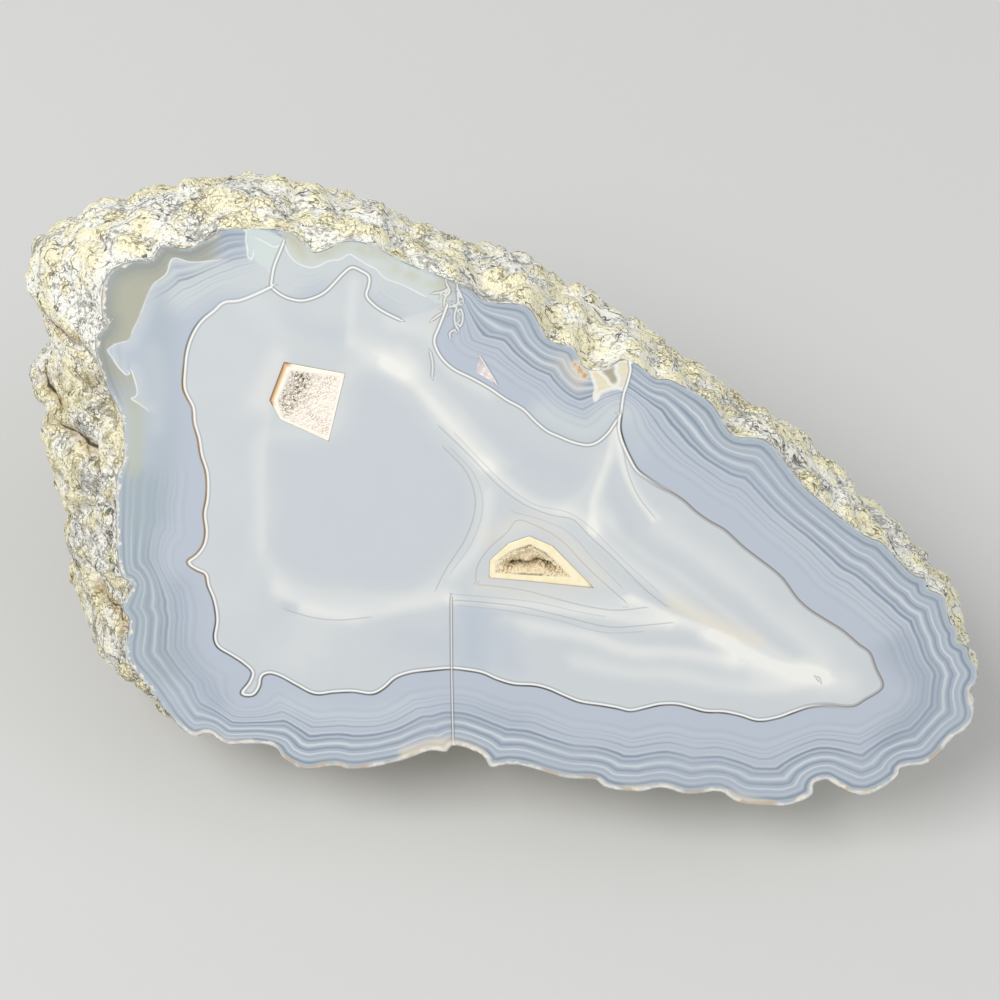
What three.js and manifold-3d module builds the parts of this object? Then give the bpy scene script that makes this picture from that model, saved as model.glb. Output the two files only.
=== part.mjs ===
// A cut and polished half of a banded agate nodule, lying on the rounded back with the polished face tilted up.
// The stone is one solid. Each of its two hollows is lined with a crust of small flat-faced crystals.
//
// Places on the stone are given in the frame of the polished face, in millimetres:
//   u  along the length of the face, to the right
//   v  up the face
//   w  depth behind the face
// faceToWorld() turns them into the part's own frame, +Z up, with the origin under the middle of the stone.

import * as THREE from 'three';
import { mergeVertices } from 'three/addons/utils/BufferGeometryUtils.js';
import Module from 'manifold-3d';

const wasm = await Module();
wasm.setup();

// Driving dimensions

const FACE_TILT = THREE.MathUtils.degToRad(45);      // slope of the polished face
const FACE_ORIGIN = new THREE.Vector3(0.8, -10.84, 62); // where u = v = w = 0 lies in the part's frame

const HEART = new THREE.Vector2(0, -8);              // middle of the face, from which the outlines are measured
const BACK_DEPTH = 58;                               // how far the back reaches behind the face
const BACK_DRIFT = new THREE.Vector2(-8, 5);         // how far the back lies off the middle of the face
const ROUNDNESS = 2.5;                               // 2 is an ellipse, more is a squarer back
const GIRDLE_DEPTH = 25;                             // depth of the widest outline
const FACET = 3.35;                                  // length of a triangle's side on the rind
const RINGS = 34;                                    // outlines between the rim and the back
const RING_SPACING = 1.2;                            // more than 1 draws the outlines together near the rim
const FEWEST_SIDES = 12;                             // of an outline near the back

const LUMPS = { count: 520, radius: [4.4, 8.2], height: [1.3, 3.1] };     // knobs on the rind
const DENTS = { count: 70, radius: [2.8, 4.6], height: [0.8, 1.9] };      // small pits between them
const MEAN_LUMP = 1.2;                               // taken off everywhere, so that the knobs add no size
const RELIEF_START = 5;                              // depth at which knobs and pits have their full height
const GOLDEN = 0.6180339887;                         // step around a ring that spreads things evenly
const JITTER = { around: 0.012, first: 0.2, depth: 0.8 }; // what chance adds to the even spread of the knobs
const DEEPEST = 0.995;                               // share of the way to the back where the knobs end

const CREVICE_DEPTH = 2.2;
const CREVICE_WIDTH = 2.4;
const CREVICE_START = 2;                             // depth behind the face at which a cleft is fully cut

// The low bulge that the stone rests on, and the line inside the stone that knobs and clefts point away from.
const BELLY = { middle: new THREE.Vector3(-9, -35, 48), radius: 42, swell: 7 };
const SPINE = new THREE.Line3(new THREE.Vector3(-42, 2, 14), new THREE.Vector3(46, -24, 14));

const SEAT_GAP = 0.3;                                // space between a crust and its hollow
const CLEAR_CUT = 1;                                 // how far a cut is carried out of the face

// Rim of the polished face, clockwise from the left end of the top edge, as u, v.
const RIM = [
  [-49.2, 49.0], [-40.6, 48.6], [-36.6, 45.4], [-30.6, 47.8], [-27.0, 47.6], [-19.0, 44.2], [-7.4, 40.2],
  [-4.8, 38.2], [3.4, 37.4], [6.6, 32.5], [8.2, 31.3], [12.2, 30.2], [13.8, 27.4], [15.4, 26.4], [18.2, 26.6],
  [21.0, 28.6], [23.4, 28.4], [27.8, 25.4], [29.8, 25.5], [33.0, 24.2], [38.6, 21.0], [42.8, 15.6], [49.0, 14.8],
  [56.2, 7.0], [63.0, 1.6], [69.6, -2.7], [71.9, -3.4], [78.9, -9.7], [81.3, -10.4], [81.7, -12.3],
  [84.8, -13.4], [86.9, -18.8], [88.3, -20.4], [88.5, -22.5], [90.6, -23.2], [91.1, -25.3], [92.9, -27.7],
  [93.2, -30.0], [92.2, -32.3], [93.4, -37.0], [92.5, -40.0], [90.1, -42.1], [86.9, -46.8], [85.0, -48.2],
  [80.6, -49.4], [80.3, -51.0], [76.1, -54.7], [73.8, -55.6], [70.1, -55.0], [66.6, -52.9], [64.2, -53.9],
  [64.0, -56.1], [59.8, -58.8], [55.5, -59.2], [49.7, -58.9], [46.0, -56.9], [39.9, -57.9], [34.3, -56.9],
  [30.1, -58.0], [23.6, -57.6], [21.7, -56.2], [16.1, -56.2], [5.2, -54.0], [0.7, -54.8], [-0.7, -52.7],
  [-4.9, -51.0], [-7.2, -51.0], [-7.7, -52.2], [-11.2, -52.3], [-16.5, -54.7], [-26.7, -57.3], [-29.9, -56.8],
  [-35.7, -57.9], [-40.0, -56.0], [-41.6, -53.9], [-44.8, -53.1], [-51.7, -53.6], [-54.9, -51.7],
  [-57.6, -52.5], [-60.3, -51.0], [-66.7, -42.7], [-71.2, -36.8], [-70.7, -28.8], [-72.0, -26.7],
  [-70.1, -21.3], [-72.0, -20.3], [-73.3, -5.3], [-72.9, 0.8], [-72.0, 3.0], [-72.0, 11.1], [-75.1, 17.8],
  [-77.1, 24.5], [-76.9, 26.7], [-74.9, 29.8], [-75.8, 31.2], [-75.3, 37.9], [-73.6, 40.1], [-70.0, 41.7],
  [-66.4, 42.3], [-64.6, 44.8], [-59.3, 44.8], [-53.5, 48.4],
];

// Outline of the stone at its widest, GIRDLE_DEPTH behind the face. It stands out past the rim at the top and
// left, and keeps to the rim along the bottom, where the edge overhangs.
const GIRDLE = [
  [-52, 55.5], [-38, 54.5], [-26, 51], [-13, 46.5], [-1, 44], [11, 39], [23, 32.5], [36.5, 25.5], [49, 17],
  [61, 10], [72, 2], [83, -8], [92, -17], [96.5, -28], [95.5, -37], [88, -45], [75, -51.5], [58, -54.5],
  [34, -54.5], [10, -54], [-15, -54], [-38, -55.5], [-56, -55], [-71, -51.5], [-81, -43], [-86, -31],
  [-88, -17], [-91.5, -5], [-94, 5], [-95, 14], [-92, 22], [-95.5, 32], [-93, 40.5], [-82.5, 47.5], [-69, 51.5],
];

// Deep clefts across the left side of the rind, as v, w, for points with u under LEFT_SIDE.
const LEFT_SIDE = -55;
const CREVICES = [
  [[17, 1.5], [21, 3], [24.5, 5], [25, 9], [27, 14], [30, 19], [30, 30]],
  [[10, 12], [14, 15], [18, 18], [22, 24]],
  [[3, 6], [5, 10], [6, 14]],
  [[-32, 2], [-28, 5], [-25, 9]],
];

// Mouths of the two crystal-lined hollows, and of the small open pit.
const UPPER_MOUTH = [[-41.6, 24.3], [-30.0, 22.8], [-32.8, 9.4], [-42.1, 13.1], [-44.2, 16.7]];
const UPPER_HOLLOW = { mouth: UPPER_MOUTH, depth: 7, floorScale: 0.8 };
const LOWER_MOUTH = [
  [-1.4, -15.7], [-1.4, -12.1], [2.0, -8.4], [5.9, -6.7], [10.5, -8.4], [17.4, -15.0], [18.8, -16.4], [6.0, -15.9],
];
const LOWER_HOLLOW = { mouth: LOWER_MOUTH, depth: 9, floorScale: 0.6 };
const PIT = { mouth: [[-5.1, 27.4], [-1.7, 22.5], [-5.7, 24.5]], depth: 2, floorScale: 0.4 };

// The crusts: the bowl left open in the middle, and the crystals that stand in it.
const UPPER_CRUST = { rimWall: 0.9, bowlDepth: 1.9, bowlFloor: 0.86, crystals: 46, radius: 1.15, height: 1.5 };
const LOWER_CRUST = { rimWall: 0.9, bowlDepth: 4.6, bowlFloor: 0.5, crystals: 44, radius: 1.0, height: 1.7 };
const CRUST_TAPER = 0.97;                            // a crust's floor beside its hollow's floor
const BOWL_RISE = 0.5;                               // how far the bowl's cut is carried over the crust
const CRYSTAL_SPREAD = 1.9;                          // places tried for each crystal that is kept
const CRYSTAL_EDGE = 0.98;                           // share of the way out where the last crystals stand

// One crystal: lengths as shares of its height, and how it leans towards the middle of the bowl.
const CRYSTAL = {
  sides: 6,
  smallest: 0.75,                                    // beside the crust's radius and height
  variety: 0.5,                                      // added to that by chance
  root: 0.45,                                        // depth of its foot in the wall
  length: 1.6,
  leanStart: 0.1,                                    // how far inside the bowl's floor the leaning begins
  lean: 0.9,
  leanReach: 0.15,                                   // share of the way to the middle that a tip moves
};

const GROUND = { width: 400, thickness: 60 };        // the block that cuts the flat spot

// Fineness of the tables of outlines
const ANGLE_STEPS = 1440;
const CURVE_SAMPLES = 8000;
const ARC_DIVISIONS = 2000;
const GIRTH_STEPS = 120;
const MERGE_DISTANCE = 1e-4;

// Frames and small helpers

/** The point of the part's own frame at u, v on the face and w behind it. */
function faceToWorld(u, v, w) {
  const sine = Math.sin(FACE_TILT);
  const cosine = Math.cos(FACE_TILT);
  return new THREE.Vector3(
    FACE_ORIGIN.x + u,
    FACE_ORIGIN.y + v * cosine + w * sine,
    FACE_ORIGIN.z + v * sine - w * cosine,
  );
}

/** A repeatable number from 0 to 1 for each whole number and channel. */
function scatter(index, channel) {
  const value = Math.sin(index * 12.9898 + channel * 78.233) * 43758.5453;
  return value - Math.floor(value);
}

/** Rises smoothly from 0 to 1 as x goes from low to high. */
function ramp(x, low, high) {
  return THREE.MathUtils.smoothstep(x, low, high);
}

/** A closed smooth curve through outline points. */
function closedCurve(outline) {
  const points = outline.map(([u, v]) => new THREE.Vector3(u, v, 0));
  return new THREE.CatmullRomCurve3(points, true, 'centripetal');
}

/** The distance from a point to a chain of straight pieces. */
function distanceToChain(x, y, chain) {
  const point = new THREE.Vector3(x, y, 0);
  const nearest = new THREE.Vector3();
  let best = Infinity;
  for (let i = 1; i < chain.length; i += 1) {
    const start = new THREE.Vector3(chain[i - 1][0], chain[i - 1][1], 0);
    const end = new THREE.Vector3(chain[i][0], chain[i][1], 0);
    new THREE.Line3(start, end).closestPointToPoint(point, true, nearest);
    best = Math.min(best, nearest.distanceTo(point));
  }
  return best;
}

// The outer form of the stone

const girdleCurve = closedCurve(GIRDLE);
girdleCurve.arcLengthDivisions = ARC_DIVISIONS;
const rimReach = reachByAngle(closedCurve(RIM));
const girdleReach = reachByAngle(girdleCurve);

/** The angle around HEART of a point, counted in steps from 0 to ANGLE_STEPS. */
function angleSteps(point) {
  const angle = Math.atan2(point.y - HEART.y, point.x - HEART.x);
  return ((angle / (2 * Math.PI) + 1) % 1) * ANGLE_STEPS;
}

/** A closed curve's distance from HEART at every step of angle. */
function reachByAngle(curve) {
  const table = new Array(ANGLE_STEPS).fill(0);
  const misses = new Array(ANGLE_STEPS).fill(Infinity);
  for (const point of curve.getPoints(CURVE_SAMPLES)) {
    const place = angleSteps(point);
    const step = Math.round(place);
    const slot = step % ANGLE_STEPS;
    if (Math.abs(place - step) < misses[slot]) {
      misses[slot] = Math.abs(place - step);
      table[slot] = Math.hypot(point.x - HEART.x, point.y - HEART.y);
    }
  }
  return table;
}

/** Reads a closed table of reaches between its steps. */
function reachAt(table, place) {
  const low = Math.floor(place) % ANGLE_STEPS;
  const high = (low + 1) % ANGLE_STEPS;
  return THREE.MathUtils.lerp(table[low], table[high], place - Math.floor(place));
}

/**
 * The smooth rind: `around` runs from 0 to 1 along the girdle, `depth` from 0 at the rim to 1 at the back.
 * The outline swells from the rim to the girdle and closes at the back like a rounded box.
 */
function smoothRind(around, depth) {
  const place = angleSteps(girdleCurve.getPointAt(around % 1));
  const angle = (place / ANGLE_STEPS) * 2 * Math.PI;
  const swell = Math.sin((Math.PI / 2) * Math.min(1, (depth * BACK_DEPTH) / GIRDLE_DEPTH));
  const closing = Math.pow(1 - Math.pow(depth, ROUNDNESS), 1 / ROUNDNESS);
  const reach = THREE.MathUtils.lerp(reachAt(rimReach, place), reachAt(girdleReach, place), swell) * closing;
  return new THREE.Vector3(
    HEART.x + BACK_DRIFT.x * depth + reach * Math.cos(angle),
    HEART.y + BACK_DRIFT.y * depth + reach * Math.sin(angle),
    depth * BACK_DEPTH,
  );
}

/** Centres, radii and heights of knobs or pits, spread evenly over the rind. */
function scatteredOverRind({ count, radius, height }, channel) {
  return Array.from({ length: count }, (_, index) => {
    const around = (index * GOLDEN + JITTER.around * scatter(index, channel)) % 1;
    const place = index + JITTER.first + JITTER.depth * scatter(index, channel + 1);
    const depth = Math.min(DEEPEST, place / count);
    return {
      centre: smoothRind(around, depth),
      radius: THREE.MathUtils.lerp(radius[0], radius[1], scatter(index, channel + 2)),
      height: THREE.MathUtils.lerp(height[0], height[1], scatter(index, channel + 3)),
    };
  });
}

const lumps = scatteredOverRind(LUMPS, 1);
const dents = scatteredOverRind(DENTS, 11);

/** The height of the highest dome that covers a point, and 0 between the domes. */
function highestDome(point, domes) {
  let highest = 0;
  for (const { centre, radius, height } of domes) {
    const near = point.distanceTo(centre) / radius;
    if (near < 1) {
      highest = Math.max(highest, height * (1 - near * near));
    }
  }
  return highest;
}

/** How deep the clefts on the left side are at a point. */
function cleftAt(point) {
  if (point.x > LEFT_SIDE) {
    return 0;
  }
  const away = Math.min(...CREVICES.map((chain) => distanceToChain(point.y, point.z, chain)));
  return CREVICE_DEPTH * Math.exp(-((away / CREVICE_WIDTH) ** 2));
}

/** How far the rind stands out from, or lies under, the smooth form at one of its points. */
function relief(point) {
  const knobs = highestDome(point, lumps) - MEAN_LUMP - highestDome(point, dents);
  const belly = point.distanceTo(BELLY.middle) / BELLY.radius;
  const bulge = belly < 1 ? BELLY.swell * (1 - belly * belly) ** 2 : 0;
  return bulge + knobs * ramp(point.z, 0, RELIEF_START) - cleftAt(point) * ramp(point.z, 0, CREVICE_START);
}

/** The rind with its knobs: the smooth form moved away from the spine. */
function knobbyRind(around, depth) {
  const point = smoothRind(around, depth);
  if (depth === 0) {
    return point;
  }
  const inside = SPINE.closestPointToPoint(point, true, new THREE.Vector3());
  const outward = point.clone().sub(inside).normalize();
  return point.addScaledVector(outward, relief(point));
}

/** Depths of the outlines: closer together near the rim and towards the back, where the form turns. */
function ringDepths() {
  return Array.from({ length: RINGS }, (_, ring) => {
    const turn = (Math.PI / 2) * Math.pow(ring / RINGS, RING_SPACING);
    return Math.pow(Math.sin(turn), 2 / ROUNDNESS);
  });
}

// Solids

/** A closed geometry from corner points and triangles of their numbers. */
function geometryFrom(points, triangles) {
  const geometry = new THREE.BufferGeometry();
  const position = new Float32Array(points.flatMap((p) => [p.x, p.y, p.z]));
  geometry.setAttribute('position', new THREE.BufferAttribute(position, 3));
  geometry.setIndex(triangles.flat());
  return geometry;
}

/** Turns a closed geometry into a solid that can be joined and cut. */
function toSolid(geometry) {
  const bare = geometry.clone();
  bare.deleteAttribute('normal');
  bare.deleteAttribute('uv');
  const merged = mergeVertices(bare, MERGE_DISTANCE);
  return new wasm.Manifold(new wasm.Mesh({
    numProp: 3,
    vertProperties: new Float32Array(merged.attributes.position.array),
    triVerts: new Uint32Array(merged.index.array),
  }));
}

/** Turns a solid back into a geometry. */
function toGeometry(solid) {
  const mesh = solid.getMesh();
  const geometry = new THREE.BufferGeometry();
  geometry.setAttribute('position', new THREE.BufferAttribute(new Float32Array(mesh.vertProperties), 3));
  geometry.setIndex(new THREE.BufferAttribute(new Uint32Array(mesh.triVerts), 1));
  geometry.computeVertexNormals();
  return geometry;
}

/** Triangles that fill an outline of [u, v] points. */
function fillOutline(outline) {
  const points = outline.map(([u, v]) => new THREE.Vector2(u, v));
  return THREE.ShapeUtils.triangulateShape(points, []);
}

/** Joins two closed rings of points, of any two counts, with a band of triangles. */
function stitch(first, firstCount, second, secondCount) {
  const band = [];
  let a = 0;
  let b = 0;
  while (a < firstCount || b < secondCount) {
    const low = first + (a % firstCount);
    const high = second + (b % secondCount);
    const stepFirst = b === secondCount || (a < firstCount && (a + 1) / firstCount <= (b + 1) / secondCount);
    if (stepFirst) {
      band.push([low, first + ((a + 1) % firstCount), high]);
      a += 1;
    } else {
      band.push([low, second + ((b + 1) % secondCount), high]);
      b += 1;
    }
  }
  return band;
}

/** The whole stone before anything is cut out of it: the flat face, the rind and the back. */
function stoneBlank() {
  const points = [];
  const triangles = [];
  let previous = null;
  for (const depth of ringDepths()) {
    const girth = ringGirth(depth);
    const count = Math.max(FEWEST_SIDES, Math.round(girth / FACET));
    const first = points.length;
    for (let i = 0; i < count; i += 1) {
      points.push(knobbyRind(i / count, depth));
    }
    if (previous === null) {
      const outline = points.map((p) => [p.x, p.y]);
      triangles.push(...fillOutline(outline));
    } else {
      triangles.push(...stitch(previous.first, previous.count, first, count));
    }
    previous = { first, count };
  }
  const back = points.length;
  points.push(knobbyRind(0, 1));
  for (let i = 0; i < previous.count; i += 1) {
    const next = (i + 1) % previous.count;
    triangles.push([previous.first + i, previous.first + next, back]);
  }
  const placed = points.map((p) => faceToWorld(p.x, p.y, p.z));
  return geometryFrom(placed, facingOut(placed, triangles));
}

/** The length of the smooth form's outline at a depth. */
function ringGirth(depth) {
  let girth = 0;
  for (let i = 0; i < GIRTH_STEPS; i += 1) {
    girth += smoothRind(i / GIRTH_STEPS, depth).distanceTo(smoothRind((i + 1) / GIRTH_STEPS, depth));
  }
  return girth;
}

/** Turns each triangle so that the whole closed surface faces outwards. */
function facingOut(points, triangles) {
  let volume = 0;
  for (const [a, b, c] of triangles) {
    volume += points[a].dot(new THREE.Vector3().crossVectors(points[b], points[c]));
  }
  return volume > 0 ? triangles : triangles.map(([a, b, c]) => [a, c, b]);
}

/** The middle of an outline's corners. */
function middleOf(outline) {
  const u = outline.reduce((sum, point) => sum + point[0], 0) / outline.length;
  const v = outline.reduce((sum, point) => sum + point[1], 0) / outline.length;
  return [u, v];
}

/** An outline scaled about its middle. */
function scaledOutline(outline, scale) {
  const [u, v] = middleOf(outline);
  return outline.map(([pu, pv]) => [u + (pu - u) * scale, v + (pv - v) * scale]);
}

/** The scale that draws an outline's nearest side in by a distance. */
function insetScale(outline, inset) {
  const [u, v] = middleOf(outline);
  const ring = [...outline, outline[0]];
  return 1 - inset / distanceToChain(u, v, ring);
}

/** A hollow or crust body: an outline carried from one depth to another, narrowing towards the floor. */
function taperedBlock(outline, topDepth, floorDepth, floorScale) {
  const floor = scaledOutline(outline, floorScale);
  const count = outline.length;
  const points = [
    ...outline.map(([u, v]) => faceToWorld(u, v, topDepth)),
    ...floor.map(([u, v]) => faceToWorld(u, v, floorDepth)),
  ];
  const cap = fillOutline(outline);
  const triangles = [
    ...cap,
    ...cap.map(([a, b, c]) => [count + a, count + c, count + b]),
    ...sideWalls(count, cap),
  ];
  return toSolid(geometryFrom(points, facingOut(points, triangles)));
}

/** Two triangles for each side between two caps, wound to agree with the first cap. */
function sideWalls(count, cap) {
  const forward = cap.some(([a, b, c]) => [[a, b], [b, c], [c, a]].some(([p, q]) => q === (p + 1) % count));
  const walls = [];
  for (let i = 0; i < count; i += 1) {
    const next = (i + 1) % count;
    const [p, q] = forward ? [next, i] : [i, next];
    walls.push([p, q, count + q], [p, count + q, count + p]);
  }
  return walls;
}

/** The cut that opens a hollow: its mouth carried a little way out of the face so that the cut is clean. */
function hollowCut({ mouth, depth, floorScale }) {
  const flare = 1 + ((1 - floorScale) * CLEAR_CUT) / depth;
  const wideMouth = scaledOutline(mouth, flare);
  return taperedBlock(wideMouth, -CLEAR_CUT, depth, floorScale / flare);
}

/** How far out of an outline's middle a point lies: 0 in the middle and 1 on the outline. */
function gauge(u, v, outline) {
  const [mu, mv] = middleOf(outline);
  let most = 0;
  for (let i = 0; i < outline.length; i += 1) {
    const [au, av] = outline[i];
    const [bu, bv] = outline[(i + 1) % outline.length];
    const normal = [bv - av, au - bu];
    const reach = normal[0] * (au - mu) + normal[1] * (av - mv);
    most = Math.max(most, (normal[0] * (u - mu) + normal[1] * (v - mv)) / reach);
  }
  return most;
}

/** A hollow's lining: a wall that fills the hollow, opened into a bowl, with pointed crystals standing in it. */
function crystalCrust(hollow, crust) {
  const outline = scaledOutline(hollow.mouth, insetScale(hollow.mouth, SEAT_GAP));
  const body = taperedBlock(outline, SEAT_GAP, hollow.depth - SEAT_GAP, hollow.floorScale * CRUST_TAPER);
  const bowlMouth = scaledOutline(outline, insetScale(outline, crust.rimWall));
  const bowl = taperedBlock(bowlMouth, SEAT_GAP - BOWL_RISE, crust.bowlDepth, crust.bowlFloor);
  let lining = body.subtract(bowl);
  const [mu, mv] = middleOf(bowlMouth);
  const span = Math.max(...bowlMouth.map(([u, v]) => Math.hypot(u - mu, v - mv)));
  let placed = 0;
  for (let index = 0; placed < crust.crystals; index += 1) {
    const turn = 2 * Math.PI * index * GOLDEN;
    const away = span * Math.sqrt((index + 0.5) / (crust.crystals * CRYSTAL_SPREAD));
    const u = mu + away * Math.cos(turn);
    const v = mv + away * Math.sin(turn);
    const outness = gauge(u, v, bowlMouth);
    if (away > span) {
      break;
    }
    if (outness < CRYSTAL_EDGE) {
      lining = lining.add(crystal(u, v, outness, [mu, mv], crust, placed));
      placed += 1;
    }
  }
  return lining.intersect(body);
}

/** One crystal: a six-sided point rooted in the bowl and leaning towards its middle. */
function crystal(u, v, outness, [mu, mv], crust, index) {
  const onWall = ramp(outness, crust.bowlFloor - CRYSTAL.leanStart, 1);
  const wallDepth = (1 - outness) / (1 - crust.bowlFloor);
  const depth = crust.bowlDepth * Math.min(1, wallDepth);
  const radius = crust.radius * (CRYSTAL.smallest + CRYSTAL.variety * scatter(index, 5));
  const height = crust.height * (CRYSTAL.smallest + CRYSTAL.variety * scatter(index, 6));
  const root = faceToWorld(u, v, depth + CRYSTAL.root * height);
  const lean = CRYSTAL.lean * onWall;
  const tipU = u + (mu - u) * CRYSTAL.leanReach * lean;
  const tipV = v + (mv - v) * CRYSTAL.leanReach * lean;
  const axis = faceToWorld(tipU, tipV, depth - height).sub(root).normalize();
  const length = CRYSTAL.length * height;
  const cone = new THREE.ConeGeometry(radius, length, CRYSTAL.sides, 1);
  cone.rotateY(2 * Math.PI * scatter(index, 7));
  cone.translate(0, length / 2, 0);
  cone.applyQuaternion(new THREE.Quaternion().setFromUnitVectors(new THREE.Vector3(0, 1, 0), axis));
  cone.translate(root.x, root.y, root.z);
  return toSolid(cone);
}

/** Everything below the surface that the stone rests on, which cuts the flat spot on the back. */
function groundCut() {
  const ground = new THREE.BoxGeometry(GROUND.width, GROUND.width, GROUND.thickness);
  ground.translate(0, 0, -GROUND.thickness / 2);
  return toSolid(ground);
}

/** The stone: the blank with its hollows, its pit and its flat spot cut. */
function stone() {
  return toSolid(stoneBlank())
    .subtract(groundCut())
    .subtract(hollowCut(UPPER_HOLLOW))
    .subtract(hollowCut(LOWER_HOLLOW))
    .subtract(hollowCut(PIT));
}

// The finished part

const BANDED_STONE = new THREE.MeshStandardMaterial({ color: 0xc3c9d2, roughness: 0.3, metalness: 0 });
const PALE_CRYSTAL = new THREE.MeshStandardMaterial({ color: 0xe8dccb, roughness: 0.6, metalness: 0 });

/** A mesh with a node's name. */
function named(name, solid, material) {
  const mesh = new THREE.Mesh(toGeometry(solid), material);
  mesh.name = name;
  return mesh;
}

const agate = new THREE.Group();
agate.add(named('agate', stone(), BANDED_STONE));
agate.add(named('upper_druse', crystalCrust(UPPER_HOLLOW, UPPER_CRUST), PALE_CRYSTAL));
agate.add(named('lower_druse', crystalCrust(LOWER_HOLLOW, LOWER_CRUST), PALE_CRYSTAL));

export default agate;
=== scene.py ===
"""A cut and polished half of a banded agate nodule, lying on its back with the polished face tilted up.

Places on the stone are given in the frame of the polished face, in millimetres: u along the face to the
right, v up the face and w the depth behind it. FaceFrame turns them into metres in the part's own frame.
"""

import itertools
import logging
import math
from dataclasses import dataclass, field
from enum import Enum
from typing import Sequence

import bpy
import numpy as np
from mathutils import Matrix, Vector
from mathutils.geometry import delaunay_2d_cdt


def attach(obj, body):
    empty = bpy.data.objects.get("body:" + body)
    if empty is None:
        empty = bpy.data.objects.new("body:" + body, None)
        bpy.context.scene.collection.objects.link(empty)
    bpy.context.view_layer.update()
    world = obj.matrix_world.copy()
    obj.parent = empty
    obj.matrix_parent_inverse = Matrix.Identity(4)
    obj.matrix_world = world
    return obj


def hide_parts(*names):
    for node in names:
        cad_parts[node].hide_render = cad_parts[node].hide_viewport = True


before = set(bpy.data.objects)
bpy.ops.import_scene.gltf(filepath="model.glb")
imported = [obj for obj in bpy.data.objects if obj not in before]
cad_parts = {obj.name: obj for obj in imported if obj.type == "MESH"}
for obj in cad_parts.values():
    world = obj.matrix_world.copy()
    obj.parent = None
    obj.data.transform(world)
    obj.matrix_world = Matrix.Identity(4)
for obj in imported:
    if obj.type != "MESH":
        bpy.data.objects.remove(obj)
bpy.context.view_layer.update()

log = logging.getLogger("agate")

Point = tuple[float, float]
Place = tuple[float, float, float]
MM = 0.001

# Driving dimensions of the stone's form, in millimetres

FACE_TILT = math.radians(45)  # of the polished face, up from level
FACE_ORIGIN = (0.8, -10.84, 62.0)  # where u = v = 0 lies in the part
HEART = (0.0, -8.0)  # the middle of the face, from which reaches are measured
BACK_DEPTH = 58.0  # how far the back lies behind the face
BACK_DRIFT = (-8.0, 5.0)  # how far the back lies off the heart, in u and v
ROUNDNESS = 2.5  # 2 closes the back like an ellipse, more makes it boxier
GIRDLE_DEPTH = 25.0  # depth at which the stone is widest
GOLDEN = 0.6180339887  # step around a ring that spreads things evenly
MEAN_LUMP = 1.2  # taken off everywhere, so that the knobs add no size
RELIEF_START = 5.0  # depth at which knobs and pits have their full height
CREVICE_DEPTH = 2.2
CREVICE_WIDTH = 2.4
CREVICE_START = 2.0  # depth at which a cleft is fully cut
LEFT_SIDE = -55.0  # clefts lie at smaller u than this
BELLY_MIDDLE = (-9.0, -35.0, 48.0)  # of the swelling low on the back that the stone rests on
BELLY_RADIUS = 42.0
BELLY_SWELL = 7.0
SPINE = ((-42.0, 2.0, 14.0), (46.0, -24.0, 14.0))  # ends of the line from which relief points outwards

# Rim of the polished face, clockwise from the left end of the top edge, as u, v.
RIM = [
    (-49.2, 49.0), (-40.6, 48.6), (-36.6, 45.4), (-30.6, 47.8), (-27.0, 47.6), (-19.0, 44.2),
    (-7.4, 40.2), (-4.8, 38.2), (3.4, 37.4), (6.6, 32.5), (8.2, 31.3), (12.2, 30.2), (13.8, 27.4),
    (15.4, 26.4), (18.2, 26.6), (21.0, 28.6), (23.4, 28.4), (27.8, 25.4), (29.8, 25.5), (33.0, 24.2),
    (38.6, 21.0), (42.8, 15.6), (49.0, 14.8), (56.2, 7.0), (63.0, 1.6), (69.6, -2.7), (71.9, -3.4),
    (78.9, -9.7), (81.3, -10.4), (81.7, -12.3), (84.8, -13.4), (86.9, -18.8), (88.3, -20.4),
    (88.5, -22.5), (90.6, -23.2), (91.1, -25.3), (92.9, -27.7), (93.2, -30.0), (92.2, -32.3),
    (93.4, -37.0), (92.5, -40.0), (90.1, -42.1), (86.9, -46.8), (85.0, -48.2), (80.6, -49.4),
    (80.3, -51.0), (76.1, -54.7), (73.8, -55.6), (70.1, -55.0), (66.6, -52.9), (64.2, -53.9),
    (64.0, -56.1), (59.8, -58.8), (55.5, -59.2), (49.7, -58.9), (46.0, -56.9), (39.9, -57.9),
    (34.3, -56.9), (30.1, -58.0), (23.6, -57.6), (21.7, -56.2), (16.1, -56.2), (5.2, -54.0), (0.7, -54.8),
    (-0.7, -52.7), (-4.9, -51.0), (-7.2, -51.0), (-7.7, -52.2), (-11.2, -52.3), (-16.5, -54.7),
    (-26.7, -57.3), (-29.9, -56.8), (-35.7, -57.9), (-40.0, -56.0), (-41.6, -53.9), (-44.8, -53.1),
    (-51.7, -53.6), (-54.9, -51.7), (-57.6, -52.5), (-60.3, -51.0), (-66.7, -42.7), (-71.2, -36.8),
    (-70.7, -28.8), (-72.0, -26.7), (-70.1, -21.3), (-72.0, -20.3), (-73.3, -5.3), (-72.9, 0.8),
    (-72.0, 3.0), (-72.0, 11.1), (-75.1, 17.8), (-77.1, 24.5), (-76.9, 26.7), (-74.9, 29.8),
    (-75.8, 31.2), (-75.3, 37.9), (-73.6, 40.1), (-70.0, 41.7), (-66.4, 42.3), (-64.6, 44.8),
    (-59.3, 44.8), (-53.5, 48.4),
]

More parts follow.
